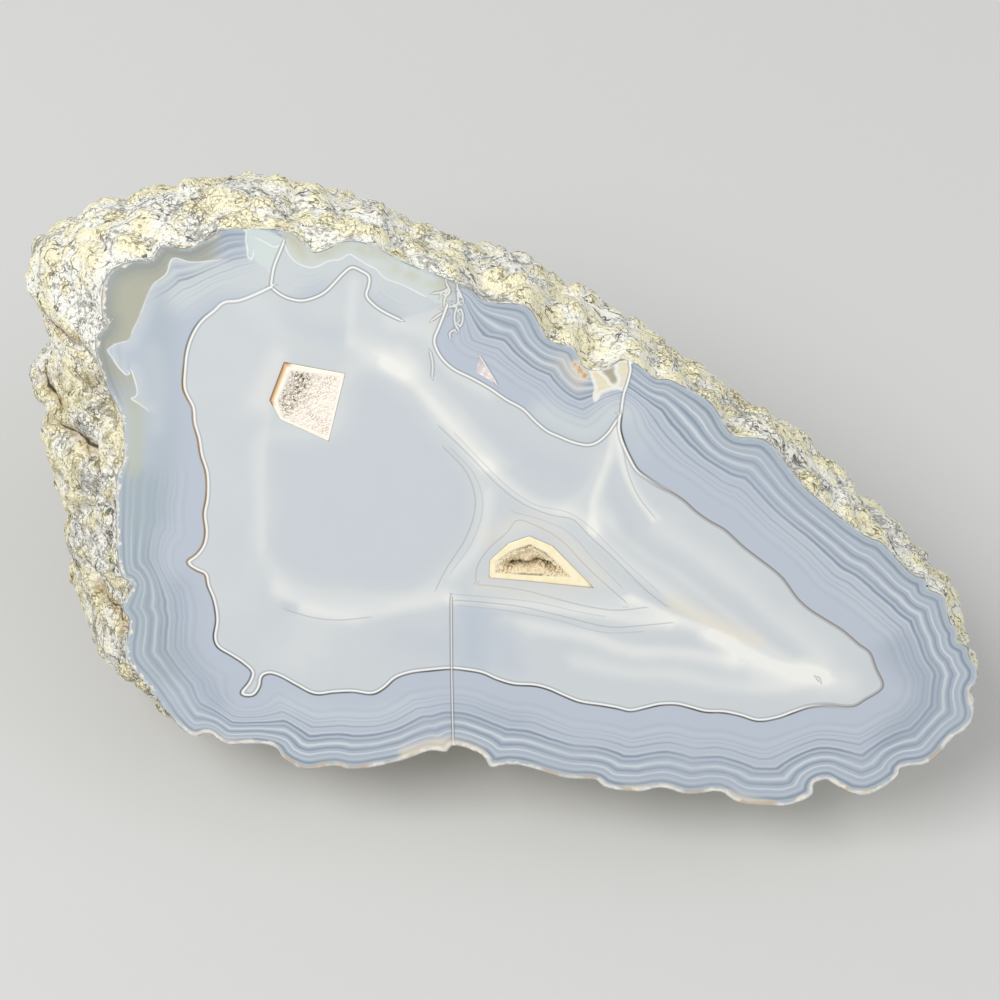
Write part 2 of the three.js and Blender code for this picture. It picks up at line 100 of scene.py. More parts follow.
# Outline of the stone at its widest, GIRDLE_DEPTH behind the face.
GIRDLE = [
    (-52, 55.5), (-38, 54.5), (-26, 51), (-13, 46.5), (-1, 44), (11, 39), (23, 32.5), (36.5, 25.5),
    (49, 17), (61, 10), (72, 2), (83, -8), (92, -17), (96.5, -28), (95.5, -37), (88, -45), (75, -51.5),
    (58, -54.5), (34, -54.5), (10, -54), (-15, -54), (-38, -55.5), (-56, -55), (-71, -51.5), (-81, -43),
    (-86, -31), (-88, -17), (-91.5, -5), (-94, 5), (-95, 14), (-92, 22), (-95.5, 32), (-93, 40.5),
    (-82.5, 47.5), (-69, 51.5),
]

# Deep clefts across the left side of the rind, as v, w.
CREVICES = [
    [(17, 1.5), (21, 3), (24.5, 5), (25, 9), (27, 14), (30, 19), (30, 30)],
    [(10, 12), (14, 15), (18, 18), (22, 24)],
    [(3, 6), (5, 10), (6, 14)],
    [(-32, 2), (-28, 5), (-25, 9)],
]

# Mouths of the two crystal-lined hollows, the holes left in their linings, and the small pit's mouth.
UPPER_MOUTH = [(-41.6, 24.3), (-30.0, 22.8), (-32.8, 9.4), (-42.1, 13.1), (-44.2, 16.7)]
UPPER_HOLE = [(-40.3, 22.7), (-30.7, 22.0), (-32.9, 10.1), (-41.6, 13.5), (-42.5, 16.7)]
LOWER_MOUTH = [
    (-1.4, -15.7), (-1.4, -12.1), (2.0, -8.4), (5.9, -6.7), (10.5, -8.4), (17.4, -15.0), (18.8, -16.4),
    (6.0, -15.9),
]
LOWER_HOLE = [
    (-0.3, -14.7), (-0.3, -12.3), (2.3, -10.0), (6.1, -8.3), (9.6, -9.9), (13.4, -13.5), (14.4, -14.6),
    (6.4, -14.7),
]
PIT_MOUTH = [(-5.1, 27.4), (-1.7, 22.5), (-5.7, 24.5)]

# Lines drawn in the polished face, as u, v. The first is the brown-edged line around the inner part,
# from its join at the top, anticlockwise to the join under the drip of rind on the right.
MAIN_LINE = [
    (-44.3, 38.3), (-47.7, 36.5), (-50.3, 35.4), (-53.0, 34.9), (-54.8, 33.2), (-57.0, 31.2),
    (-58.6, 28.7), (-59.7, 25.4), (-60.1, 21.8), (-60.2, 18.2), (-59.5, 16.4), (-58.5, 14.5),
    (-58.2, 11.5), (-57.3, 8.4), (-56.8, 5.3), (-55.7, 1.7), (-55.6, -3.2), (-56.1, -6.4), (-55.7, -10.1),
    (-56.2, -12.8), (-57.6, -14.9), (-59.2, -16.4), (-57.6, -17.6), (-55.8, -18.4), (-55.2, -20.8),
    (-54.1, -23.5), (-53.4, -27.7), (-53.8, -31.6), (-53.1, -33.2), (-50.7, -34.6), (-48.0, -36.3),
    (-46.3, -38.1), (-46.9, -40.3), (-48.4, -42.7), (-46.4, -42.8), (-45.2, -41.1), (-44.7, -38.7),
    (-43.2, -37.9), (-41.1, -38.3), (-37.9, -39.9), (-34.1, -41.6), (-30.4, -41.0), (-26.7, -40.6),
    (-22.9, -40.8), (-20.8, -39.5), (-18.7, -37.3), (-16.0, -36.0), (-11.7, -35.1), (-7.7, -34.5),
    (-4.9, -34.6), (-1.6, -35.0), (1.2, -36.1), (4.5, -36.9), (8.7, -36.9), (11.5, -37.5), (14.3, -38.6),
    (17.5, -39.7), (21.7, -40.1), (25.0, -40.5), (27.3, -40.9), (30.1, -40.1), (32.9, -39.2),
    (36.2, -38.9), (39.0, -39.4), (41.8, -40.0), (45.5, -39.9), (48.8, -40.4), (52.1, -41.2),
    (55.7, -40.4), (58.9, -38.9), (61.7, -37.7), (64.9, -37.2), (70.1, -37.2), (72.4, -35.6),
    (75.2, -33.3), (75.4, -32.1), (73.8, -29.1), (72.2, -25.8), (70.1, -24.4), (66.8, -21.8),
    (63.1, -19.7), (60.0, -17.9), (57.5, -15.8), (54.5, -12.1), (52.2, -10.2), (49.0, -8.0), (46.2, -6.0),
    (42.6, -3.0), (39.8, -1.6), (37.0, 0.2), (34.6, 2.2), (32.2, 3.6), (29.8, 4.6), (27.4, 6.0),
    (25.4, 7.4), (23.8, 9.8), (22.2, 13.0), (21.5, 15.4), (21.5, 17.8),
]
# The white line on from that join, down to the left and up to the feathery knot.
BAY_LINE = [
    (21.5, 17.8), (20.6, 16.2), (19.4, 14.2), (17.4, 12.3), (15.8, 11.8), (13.0, 12.2), (10.2, 13.2),
    (8.2, 14.0), (5.8, 15.8), (3.4, 18.0), (0.2, 19.6), (-3.0, 21.6), (-6.6, 23.4), (-9.8, 24.8),
    (-11.8, 26.4), (-13.2, 28.4), (-13.7, 30.2), (-13.0, 32.4), (-12.2, 34.8), (-11.6, 36.8),
]
DRIP_LINE = [
    (21.5, 17.0), (21.7, 18.3), (21.8, 20.3), (22.0, 22.2), (22.4, 23.7), (22.7, 25.2), (22.9, 26.8),
    (22.6, 28.2),
]
TOP_LINE = [
    (-44.3, 38.3), (-42.6, 37.1), (-41.0, 36.4), (-38.6, 36.1), (-36.2, 36.8), (-34.2, 38.0),
    (-32.2, 40.2), (-31.0, 41.6), (-29.4, 42.9), (-27.8, 42.4), (-26.2, 41.4), (-26.2, 39.6),
    (-26.6, 37.8), (-25.0, 36.0), (-23.0, 34.8), (-20.2, 33.6),
]
TOP_STEM = [(-44.3, 38.3), (-44.1, 40.3), (-43.8, 42.1), (-43.3, 43.6), (-42.6, 45.4), (-42.1, 46.8)]
WAVY_LINE = [
    (-42.1, 47.0), (-41.5, 45.3), (-40.5, 43.9), (-39.1, 42.9), (-36.9, 42.4), (-35.3, 42.9),
    (-33.5, 43.9), (-31.7, 44.2), (-30.0, 45.3), (-28.5, 44.6), (-26.5, 43.5), (-24.9, 42.8),
    (-23.4, 41.3), (-20.0, 40.2), (-16.0, 38.4),
]
WEDGE_RIDGE = [(-46.9, 47.2), (-45.3, 46.5), (-43.7, 45.8), (-42.2, 46.6)]
WEDGE_HOOK = [(-49.0, 48.1), (-49.1, 46.6), (-48.7, 45.1), (-48.7, 43.8), (-47.9, 43.1), (-47.7, 44.4)]
LEFT_BAND = [
    (-54.0, 42.8), (-59.3, 42.1), (-62.6, 42.6), (-63.7, 39.7), (-66.0, 37.7), (-67.3, 35.2),
    (-68.6, 31.6), (-70.0, 28.5), (-70.7, 26.7), (-73.1, 25.8), (-74.7, 24.5), (-73.8, 23.1),
    (-72.7, 21.4), (-71.3, 20.0),
]
LEFT_HOOK = [
    (-70.1, 20.6), (-69.5, 18.7), (-69.1, 16.7), (-69.5, 15.8), (-70.3, 15.5), (-68.6, 14.4), (-67.4, 13.6),
]
CRACK = [(-8.4, -20.2), (-7.7, -34.5), (-6.7, -50.4)]
# The feathery knot of white threads at the upper end of the bay line, a sliver below it, a painted highlight
# along the lit right edge of the small pit, and a small white tick on the right.
KNOT_AND_HIGHLIGHT_LINES = [
    [(-12.0, 36.0), (-12.1, 38.2), (-11.2, 39.4), (-11.9, 40.9)],
    [(-9.9, 40.4), (-9.6, 37.1), (-10.1, 35.5), (-10.0, 33.6), (-9.4, 32.5)],
    [(-9.6, 37.1), (-8.7, 35.6), (-8.8, 33.3), (-9.6, 32.7)],
    [(-12.1, 36.0), (-11.1, 36.6), (-10.2, 36.8), (-9.6, 36.7)],
    [(-12.2, 35.4), (-12.9, 35.0), (-14.1, 34.0)],
    [(-10.0, 32.3), (-10.9, 31.7), (-10.8, 30.9)],
    [(-9.9, 40.4), (-9.3, 39.3), (-8.7, 38.0)],
    [(-14.0, 39.0), (-12.8, 39.2), (-11.8, 39.7)],
    [(-14.3, 27.7), (-13.8, 25.6), (-13.8, 23.3)],
    # A painted highlight: the lit right edge of the small pit's wall, drawn as a white line.
    [(-5.0, 27.4), (-1.8, 22.6)],
    [(62.8, -31.8), (63.2, -32.2)],
]
# The drip of cream rind that hangs into the face on the right, with the dull hollow in it.
DRIP = [
    (13.8, 28.0), (15.3, 26.2), (16.2, 24.1), (16.7, 22.9), (16.4, 21.5), (16.7, 20.2), (17.2, 20.9),
    (17.6, 22.0), (19.5, 22.8), (21.0, 23.1), (22.1, 22.6), (22.6, 25.2), (22.8, 28.6), (18.0, 28.4),
]
DRIP_HOLLOW = [
    (17.3, 26.2), (18.8, 24.9), (19.4, 23.9), (20.4, 23.8), (20.7, 24.9), (20.0, 26.1), (20.2, 27.2),
    (18.8, 26.8),
]
# The pale cyan wedge at the top, left of the stem.
WEDGE = [
    (-48.8, 49.0), (-45.8, 48.8), (-43.4, 48.2), (-42.0, 47.0), (-42.9, 44.8), (-43.7, 42.3),
    (-44.1, 39.7), (-45.3, 42.0), (-46.9, 42.9), (-47.7, 44.1), (-48.4, 43.9), (-49.0, 45.4),
    (-49.1, 47.4),
]
# Hair-thin grey lines around the lower hollow and along the streaks, in two sets that never lie side by side.
FINE_LINES = [
    [(-3.8, -17.2), (1.0, -17.3), (6.5, -17.9), (12.0, -19.1), (17.9, -20.2), (23.5, -20.6),
     (29.0, -19.6)],
    [(-3.8, -17.2), (-3.7, -13.6), (-1.5, -9.6), (1.7, -6.3), (3.4, -3.8), (7.0, -4.6), (12.0, -7.2),
     (15.9, -11.0), (19.4, -14.2), (25.0, -18.8)],
    [(-7.6, -20.6), (-1.0, -20.7), (5.0, -21.1), (11.0, -22.1), (14.8, -22.8), (18.6, -23.6),
     (22.6, -24.1), (27.6, -23.5), (34.0, -22.4)],
    [(-12.0, 13.6), (-6.0, 8.2), (-0.4, 2.8), (4.6, -0.6), (10.0, -2.4), (14.0, -3.0), (17.0, -5.8),
     (22.0, -10.0), (29.0, -16.4), (33.0, -19.2)],
    [(-11.0, 9.6), (-6.4, 4.8), (-4.6, -1.0), (-6.0, -7.6), (-9.6, -14.4), (-11.4, -18.6)],
    [(-40.0, -24.8), (-35.0, -26.0), (-30.0, -26.2), (-24.0, -25.2)],
    [(22.3, 12.6), (23.6, 7.4), (26.0, 2.4), (29.4, -1.6)],
]
FAINT_LINES = [
    [(-8.4, -19.4), (0.0, -19.6), (8.0, -20.0), (16.0, -21.4), (21.0, -22.0)],
    [(-7.0, -21.7), (0.0, -21.9), (6.0, -22.5), (12.0, -23.3), (18.6, -24.9), (22.6, -25.3),
     (28.6, -24.6)],
    [(-9.0, 12.4), (-3.0, 6.6), (2.0, 2.2), (7.0, -0.6), (13.0, -1.6), (17.0, -4.0), (24.0, -10.4),
     (31.0, -16.2)],
    [(-9.6, 9.4), (-5.0, 4.6), (-3.2, -1.0), (-4.6, -8.0), (-8.6, -15.0)],
    [(2.6, -2.2), (8.0, -3.4), (13.4, -5.6), (18.4, -10.6), (24.0, -15.8)],
]


@dataclass(frozen=True)
class Stroke:
    """A soft streak of tint in the face.

    Attributes:
        points: the chain of points that it follows.
        width: its half width in millimetres.
        strength: how strong it is in the middle.
        lean: more than 0 draws it out on its left-hand side and sharpens it on the right, and the reverse.
    """

    points: Sequence[Point]
    width: float
    strength: float
    lean: float = 0.0


# Whitish and greyish streaks. Positive is milky and negative is clear grey-blue.
MILK_STROKES = [
    Stroke([(-44.6, 14), (-45, 6), (-45.2, -6), (-45, -12)], 1.0, 0.17, -0.5),
    Stroke([(-43.2, 25), (-46.2, 16.5)], 2.4, 0.4),
    Stroke([(-42, -21), (-36, -24), (-26, -24.6), (-17, -22.4), (-9, -20)], 1.9, 0.5, 0.2),
    Stroke([(-36, -25), (-27, -26)], 1.6, 0.2),
    Stroke([(-37, -36), (-34, -28)], 4.0, 0.15),
    Stroke([(-40, -24.3), (-38.5, -24.3)], 1.1, -0.55),
    Stroke([(-28, 28.6), (-24, 26), (-19, 23.2)], 2.2, 0.4, 0.2),
    Stroke([(-22, 25), (-17, 21.8), (-13, 17.6), (-8, 12.6), (-3, 7)], 1.9, 0.85, 0.35),
    Stroke([(-19, 27), (-12, 21), (-6, 14.6), (1, 8)], 1.6, 0.28, 0.3),
    Stroke([(-3, 7), (2, 2.6), (7, -0.4), (14, -2), (18, -5)], 1.4, 0.5, 0.2),
    Stroke([(-28.4, 40), (-28.7, 34), (-29, 29)], 1.1, 0.32),
    Stroke([(-40, 33), (-35, 31), (-30, 30)], 2.4, -0.3),
    Stroke([(-21, 33), (-14, 31), (-10, 25), (-3, 21)], 2.2, 0.35, 0.3),
    Stroke([(-14, 22), (-4, 14), (6, 8), (13, 6)], 3.4, -0.32),
    Stroke([(20.9, 16), (20.2, 10), (18.6, 4), (17.6, -1), (18, -5)], 0.9, 0.62, 0.35),
    Stroke([(19.4, 9), (16.6, 3), (12, -2)], 2.0, 0.22, 0.3),
    Stroke([(21.6, 15), (22.6, 10), (25, 3.6), (29, -1.4)], 0.8, 0.75, 0.3),
    Stroke([(20.6, 8), (21.6, 2), (25, -3)], 1.6, -0.25),
    Stroke([(-2, 1), (-2, -4), (-4, -10), (-8, -15)], 1.1, 0.3, 0.2),
    Stroke([(18, -5), (24, -10), (31, -15.4), (38, -20), (47, -25), (56, -29.4), (64, -32)], 1.5, 0.42, 0.3),
    Stroke([(19, -2), (30, -9), (42, -17.6), (54, -26), (62, -30.4)], 1.6, 0.35, 0.4),
    Stroke([(24, -4), (36, -12), (48, -20.6), (58, -27.6)], 1.5, -0.3),
    Stroke([(30, -3), (42, -11), (54, -19.4), (64, -28)], 2.0, 0.3, 0.3),
    Stroke([(26, -18.6), (33, -21), (40, -23.2), (46, -25.6)], 1.2, 0.8, -0.45),
    Stroke([(42, -24.6), (50, -28), (57, -30.4), (64, -31.6)], 1.5, 0.85, -0.35),
    Stroke([(47, -29), (55, -31.6), (63, -32.6), (68, -32.6)], 3.2, 0.42),
    Stroke([(-8, -20.6), (4, -21), (14, -21.6), (24, -22), (34, -23)], 1.3, 0.6, 0.2),
    Stroke([(2, -24), (12, -25.6), (22, -27.4), (34, -28.6), (46, -29.4)], 1.7, 0.55, -0.4),
    Stroke([(10, -27.6), (22, -29.8), (36, -31), (48, -31.6)], 1.4, -0.22),
    Stroke([(16, -31.6), (32, -33), (48, -34.4), (56, -34), (62, -32.4)], 1.8, 0.35, 0.3),
    Stroke([(-4, -23), (-3.4, -33)], 3.6, -0.85),
    Stroke([(2, -25), (4, -33)], 3.6, -0.45),
    Stroke([(-18, -30), (-10, -30)], 4.4, -0.35),
    Stroke([(2, -6), (8, -3.4), (14, -8), (20, -14.4), (26, -18.4), (8, -18.6), (-3, -17.8)], 2.0, 0.2),
    Stroke([(-50, 38), (-42, 32), (-34, 34)], 4.0, 0.12),
]
# Peach and cream warmth.
WARM_STROKES = [
    Stroke([(34, -19), (42, -22), (50, -25.4)], 1.8, 0.55, 0.5),
    Stroke([(-43, 27), (-34, 26.4), (-28.6, 24)], 2.0, 0.16),
    Stroke([(-2, -8), (3, -4.6), (8, -4.6), (14, -9), (20, -14), (10, -17.6), (-3, -17)], 2.4, 0.36),
    Stroke([(-45, 16), (-44, 22)], 2.0, 0.2),
    Stroke([(-16, -53), (-8, -50.5), (-2, -52)], 1.6, 0.8),
    Stroke([(-55, 47.8), (-56.5, 47.0)], 1.0, 1.3),
    Stroke([(-2, 30), (6, 27), (12, 24)], 2.6, 0.16),
    Stroke([(10.4, 27.8), (12.2, 25.6), (13.6, 23.6)], 2.0, 0.4),
    Stroke([(12.9, 26.9), (14.4, 25.2)], 0.8, 1.5),
    Stroke([(17.8, 21.2), (21.2, 20.8)], 0.6, 0.25),
    Stroke([(46, -57), (56, -59)], 1.2, 0.6),
    Stroke([(28, -57.6), (36, -57)], 1.2, 0.6),
    Stroke([(-12, 38), (-15, 33)], 1.2, 0.3),
    Stroke([(-42, -54), (-60, -52)], 1.0, 0.6),
]
# Greenish beige near the rind.
GREEN_STROKES = [
    Stroke([(-70, 14), (-69.6, 8), (-70.4, 2)], 2.6, 0.8),
    Stroke([(-18, 41.5), (-12, 39.4)], 2.0, 0.7),
    Stroke([(27, 23.6), (33, 22), (41, 15), (47, 12)], 1.6, 0.35),
    Stroke([(17.6, 25.4), (20, 24.8)], 1.2, 0.6),
]
# The cyan-grey of the left side.
CYAN_STROKES = [
    Stroke([(-64, 34), (-65, 24), (-64, 8), (-65, -6)], 4.0, 0.5),
    Stroke([(-70, -2), (-69, -14), (-68, -26), (-64, -38)], 4.5, 0.9),
]
# Where the outer zone is as pale as the inner part.
PALE_STROKES = [
    Stroke([(-61, 36), (-56, 38.6), (-50, 40), (-44, 41)], 4.5, 0.9),
    Stroke([(-40, 42), (-32, 43.4), (-22, 40), (-17, 37)], 4.5, 1.0),
    Stroke([(8, 18), (16, 14.6), (20, 18)], 3.2, 0.8),
    Stroke([(24, 18), (26, 11)], 3.0, 0.35),
    Stroke([(52, 0), (64, -10), (74, -19)], 3.2, 0.3),
    Stroke([(-40, -45), (-28, -46), (-14, -44)], 4.0, 0.35),
    Stroke([(-6, -45), (6, -45)], 4.5, -0.3),
    Stroke([(78, -24), (84, -34), (78, -44)], 5.0, -0.5),
    Stroke([(-66, 24), (-65, 10)], 3.0, 0.4),
    Stroke([(-61, -22), (-60, -34), (-54, -44)], 4.0, -0.4),
    Stroke([(-60, 44.4), (-54, 46), (-50, 46.4)], 2.0, -0.6),
]
# Where the outer zone shows hardly any bands.
PLAIN_STROKES = [
    Stroke([(-73, 36), (-70, 28), (-69, 20), (-68, 12)], 5.0, 1.0),
    Stroke([(-64, 32), (-63, 20), (-62, 6)], 5.0, 0.9),
    Stroke([(-41, 43), (-32, 44), (-22, 42), (-15, 38)], 4.5, 1.1),
    Stroke([(-52, 37), (-46, 40)], 2.4, 0.7),
    Stroke([(-48, 46), (-44, 43)], 2.4, 0.9),
    Stroke([(-70, 6), (-68, -12), (-67, -26), (-60, -42)], 7.0, 0.45),
    Stroke([(-69, 8), (-67, 0), (-66, -8)], 6.0, 0.45),
]
# The rounded grey-blue cloud left of the middle, clockwise from its upper left
CLOUD_OUTLINE = [
    (-44, 8.2), (-36, 8.8), (-30.4, 11), (-29, 20), (-26, 23), (-18, 18.4), (-12, 12.4), (-6.4, 6),
    (-4.2, -1), (-5.4, -7.4), (-9.6, -13.6), (-15, -18.2), (-24, -20), (-34, -19.6), (-41, -17),
    (-44.4, -11), (-43.6, -3),
]


@dataclass(frozen=True)
class Hollow:
    """An open hollow in the polished face, which narrows evenly down to its floor.

    Attributes:
        mouth: the corners of its mouth.
        depth: the depth of its floor in millimetres.
        floor_scale: the size of its floor beside its mouth.
    """

    mouth: Sequence[Point]
    depth: float
    floor_scale: float


UPPER_HOLLOW = Hollow(UPPER_MOUTH, depth=7.0, floor_scale=0.8)
LOWER_HOLLOW = Hollow(LOWER_MOUTH, depth=9.0, floor_scale=0.6)
PIT = Hollow(PIT_MOUTH, depth=1.2, floor_scale=0.4)


# Numeric helpers


def as_points(points: Sequence[Point]) -> np.ndarray:
    """Turns a list of u, v points into an array of floats."""
    return np.array(points, dtype=float)


def smooth_curve(points: Sequence[Point], closed: bool, per_piece: int) -> np.ndarray:
    """Draws a smooth curve through points, a centripetal Catmull-Rom spline.

    On each piece between two points the place is the cubic x1 + t1 s + (3(x2 - x1) - 2 t1 - t2) s^2
    + (2(x1 - x2) + t1 + t2) s^3, whose end slopes t1 and t2 come from the square roots of the distances
    between the four points around the piece.

    Args:
        points: corner points in order.
        closed: whether the curve returns to its first point.
        per_piece: how many places are worked out on each piece.

    Returns:
        An array of places, with the last corner added on an open curve.
    """
    corners = as_points(points)
    if closed:
        before, start = np.roll(corners, 1, axis=0), corners
        end, after = np.roll(corners, -1, axis=0), np.roll(corners, -2, axis=0)
    else:
        padded = np.vstack([2 * corners[0] - corners[1], corners, 2 * corners[-1] - corners[-2]])
        before, start, end, after = padded[:-3], padded[1:-2], padded[2:-1], padded[3:]
    gap0 = np.sqrt(np.linalg.norm(start - before, axis=1))[:, None]
    gap1 = np.sqrt(np.linalg.norm(end - start, axis=1))[:, None]
    gap2 = np.sqrt(np.linalg.norm(after - end, axis=1))[:, None]
    slope1 = gap1 * ((start - before) / gap0 - (end - before) / (gap0 + gap1) + (end - start) / gap1)
    slope2 = gap1 * ((end - start) / gap1 - (after - start) / (gap1 + gap2) + (after - end) / gap2)
    s = (np.arange(per_piece) / per_piece)[None, :, None]
    square = 3 * (end - start) - 2 * slope1 - slope2
    cube = 2 * (start - end) + slope1 + slope2
    places = start[:, None] + slope1[:, None] * s + square[:, None] * s**2 + cube[:, None] * s**3
    places = places.reshape(-1, corners.shape[1])
    return places if closed else np.vstack([places, corners[-1]])


def resample(curve: np.ndarray, count: int, closed: bool) -> np.ndarray:
    """Spreads a number of points evenly along a chain."""
    chain = np.vstack([curve, curve[:1]]) if closed else curve
    run = np.concatenate([[0], np.cumsum(np.linalg.norm(np.diff(chain, axis=0), axis=1))])
    stops = np.linspace(0, run[-1], count, endpoint=not closed)
    return np.column_stack([np.interp(stops, run, chain[:, axis]) for axis in range(chain.shape[1])])


def subdivided(outline: Sequence[Point], step: float) -> np.ndarray:
    """Adds points along a closed outline's straight sides and keeps its corners.

    Args:
        outline: the outline's corners.
        step: about how far apart the points are, in millimetres.

    Returns:
        The outline's points in order.
    """
    corners = as_points(outline)
    sides = zip(corners, np.roll(corners, -1, axis=0))
    pieces = []
    for start, end in sides:
        count = max(1, round(float(np.linalg.norm(end - start)) / step))
        pieces.append(start + (end - start) * (np.arange(count) / count)[:, None])
    return np.vstack(pieces)


@dataclass
class Nearness:
    """What chain_nearness found for each point.

    Attributes:
        distance: millimetres to the nearest chain.
        side: the same with a minus sign on the right-hand side of the nearest piece.
        along: the share of the way along the chain, from 0 to 1.
    """

    distance: np.ndarray
    side: np.ndarray
    along: np.ndarray


def chain_nearness(points: np.ndarray, chains: Sequence[np.ndarray], closed: bool = False) -> Nearness:
    """Finds the nearest straight piece of some chains for each point.

    Args:
        points: places in the face.
        chains: arrays of chain points.
        closed: whether each chain returns to its first point.

    Returns:
        The distance, signed distance and share along the chain.
    """
    best = np.full(len(points), np.inf)
    side = np.ones(len(points))
    along = np.zeros(len(points))
    for chain in chains:
        ring = np.vstack([chain, chain[:1]]) if closed else chain
        pieces = len(ring) - 1
        for number in range(pieces):
            start, step = ring[number], ring[number + 1] - ring[number]
            length = float(step @ step)
            if length == 0:
                continue
            offset = points - start
            share = np.clip(offset @ step / length, 0, 1)
            gap = offset - share[:, None] * step
            distance = np.einsum("ij,ij->i", gap, gap)
            closer = distance < best
            best[closer] = distance[closer]
            turn = step[0] * offset[:, 1] - step[1] * offset[:, 0]
            side[closer] = np.where(turn[closer] < 0, -1.0, 1.0)
            along[closer] = (number + share[closer]) / pieces
    distance = np.sqrt(best)
    return Nearness(distance, distance * side, along)


def inside(points: np.ndarray, outline: np.ndarray) -> np.ndarray:
    """Says which points lie in a closed outline, by counting the sides that a ray to the right crosses.

    Args:
        points: places in the face.
        outline: the outline's points in order.

    Returns:
        True for each point inside.
    """
    crossings = np.zeros(len(points), dtype=int)
    x, y = points[:, 0], points[:, 1]
    for (x0, y0), (x1, y1) in zip(outline, np.roll(outline, -1, axis=0)):
        if y0 == y1:
            continue
        spans = (y0 > y) != (y1 > y)
        crossings += spans & (x < x0 + (y - y0) * (x1 - x0) / (y1 - y0))
    return crossings % 2 == 1


def ramp(x: np.ndarray, low: float, high: float) -> np.ndarray:
    """Rises smoothly from 0 to 1 as x goes from low to high: 3t^2 - 2t^3."""
    t = np.clip((x - low) / (high - low), 0, 1)
    return t * t * (3 - 2 * t)


def scatter(index: np.ndarray, channel: int) -> np.ndarray:
    """A repeatable number from 0 to 1 for each whole number and channel."""
    value = np.sin(index * 12.9898 + channel * 78.233) * 43758.5453
    return value - np.floor(value)


def cell_value(cell: np.ndarray, channel: int) -> np.ndarray:
    """A repeatable number from 0 to 1 for each cell of a cubic lattice."""
    value = np.sin(cell @ np.array([127.1, 311.7, 74.7]) + channel * 19.19) * 43758.5453
    return value - np.floor(value)


def soft_noise(points: np.ndarray, size: float, channel: int) -> np.ndarray:
    """Smooth noise: lattice values blended between the eight corners of each cell.

    Args:
        points: places in millimetres.
        size: the width of a cell.
        channel: which scattering to use.

    Returns:
        A number from -1 to 1 for each point.
    """
    scaled = points / size
    base = np.floor(scaled)
    share = scaled - base
    share = share * share * (3 - 2 * share)
    total = np.zeros(len(points))
    for corner in itertools.product((0, 1), repeat=3):
        weight = np.prod(np.where(np.array(corner) == 1, share, 1 - share), axis=1)
        total += weight * cell_value(base + np.array(corner), channel)
    return 2 * total - 1


def pebbles(points: np.ndarray, size: float, channel: int) -> tuple[np.ndarray, np.ndarray]:
    """Distances to the nearest and second nearest of one scattered middle per cell, in cells.

    Args:
        points: places in millimetres.
        size: the width of a cell.
        channel: which scattering to use.

    Returns:
        The nearest and second nearest distances, divided by the cell's width.
    """
    scaled = points / size
    base = np.floor(scaled)
    nearest = np.full(len(points), 9.0)
    second = np.full(len(points), 9.0)
    for offset in itertools.product((-1, 0, 1), repeat=3):
        cell = base + np.array(offset)
        jitter = np.column_stack([cell_value(cell, channel + axis) for axis in range(3)])
        distance = np.linalg.norm(cell + jitter - scaled, axis=1)
        second = np.minimum(second, np.maximum(nearest, distance))
        nearest = np.minimum(nearest, distance)
    return nearest, second


def linear(red: int, green: int, blue: int) -> tuple[float, float, float, float]:
    """Turns display values into the linear colour that a shader takes, by the standard display curve."""
    shares = [value / 255 for value in (red, green, blue)]
    light = [s / 12.92 if s <= 0.04045 else ((s + 0.055) / 1.055) ** 2.4 for s in shares]
    return (*light, 1.0)


# The frame of the polished face


@dataclass(frozen=True)
class FaceFrame:
    """Turns u, v, w in millimetres into metres in the part's own frame."""

    origin: tuple[float, float, float] = FACE_ORIGIN
    tilt: float = FACE_TILT

    def place(self, points: np.ndarray) -> np.ndarray:
        """Places points of the face's frame in the part.

        Args:
            points: rows of u, v, w in millimetres.

        Returns:
            Rows of x, y, z in metres.
        """
        sine, cosine = math.sin(self.tilt), math.cos(self.tilt)
        u, v, w = points[:, 0], points[:, 1], points[:, 2]
        x = self.origin[0] + u
        y = self.origin[1] + v * cosine + w * sine
        z = self.origin[2] + v * sine - w * cosine
        return np.column_stack([x, y, z]) * MM


# The form of the rind


@dataclass(frozen=True)
class Domes:
    """Knobs or pits spread over the rind by the golden ratio.

    Attributes:
        count: how many there are.
        radius: the smallest and largest radius in millimetres.
        height: the smallest and largest height.
        channel: which scattering they use.
        jitter: what chance adds to the way around and to the depth.
        deepest: the share of the way to the back where they end.
    """

    count: int
    radius: Point
    height: Point
    channel: int
    jitter: Point = (0.012, 0.8)
    deepest: float = 0.995


@dataclass(frozen=True)
class Grains:
    """One layer of small knobs that lie side by side over the rind.

    Attributes:
        size: how wide a knob is, in millimetres.
        height: how high it stands.
        reach: how far it goes out from its middle, as a share of its size.
        mean: the share of its height taken off everywhere, so that the layer adds no size.
        bend: how strongly the layer's pattern is bent.
        channel: which scattering the layer uses.
        groove: how wide the groove between knobs is, as a share of their size, or 0 for none.
    """

    size: float
    height: float
    reach: float
    mean: float
    bend: float
    channel: int
    groove: float = 0.0

    def rise(self, points: np.ndarray, shift: np.ndarray) -> np.ndarray:
        """How high the layer stands at each point: 1 - (distance / reach)^2, and 0 in a groove."""
        near, second = pebbles(points + self.bend * shift, self.size, self.channel)
        dome = np.clip(1 - (near / self.reach) ** 2, 0, 1)
        return dome * ramp(second - near, 0.0, self.groove) if self.groove else dome


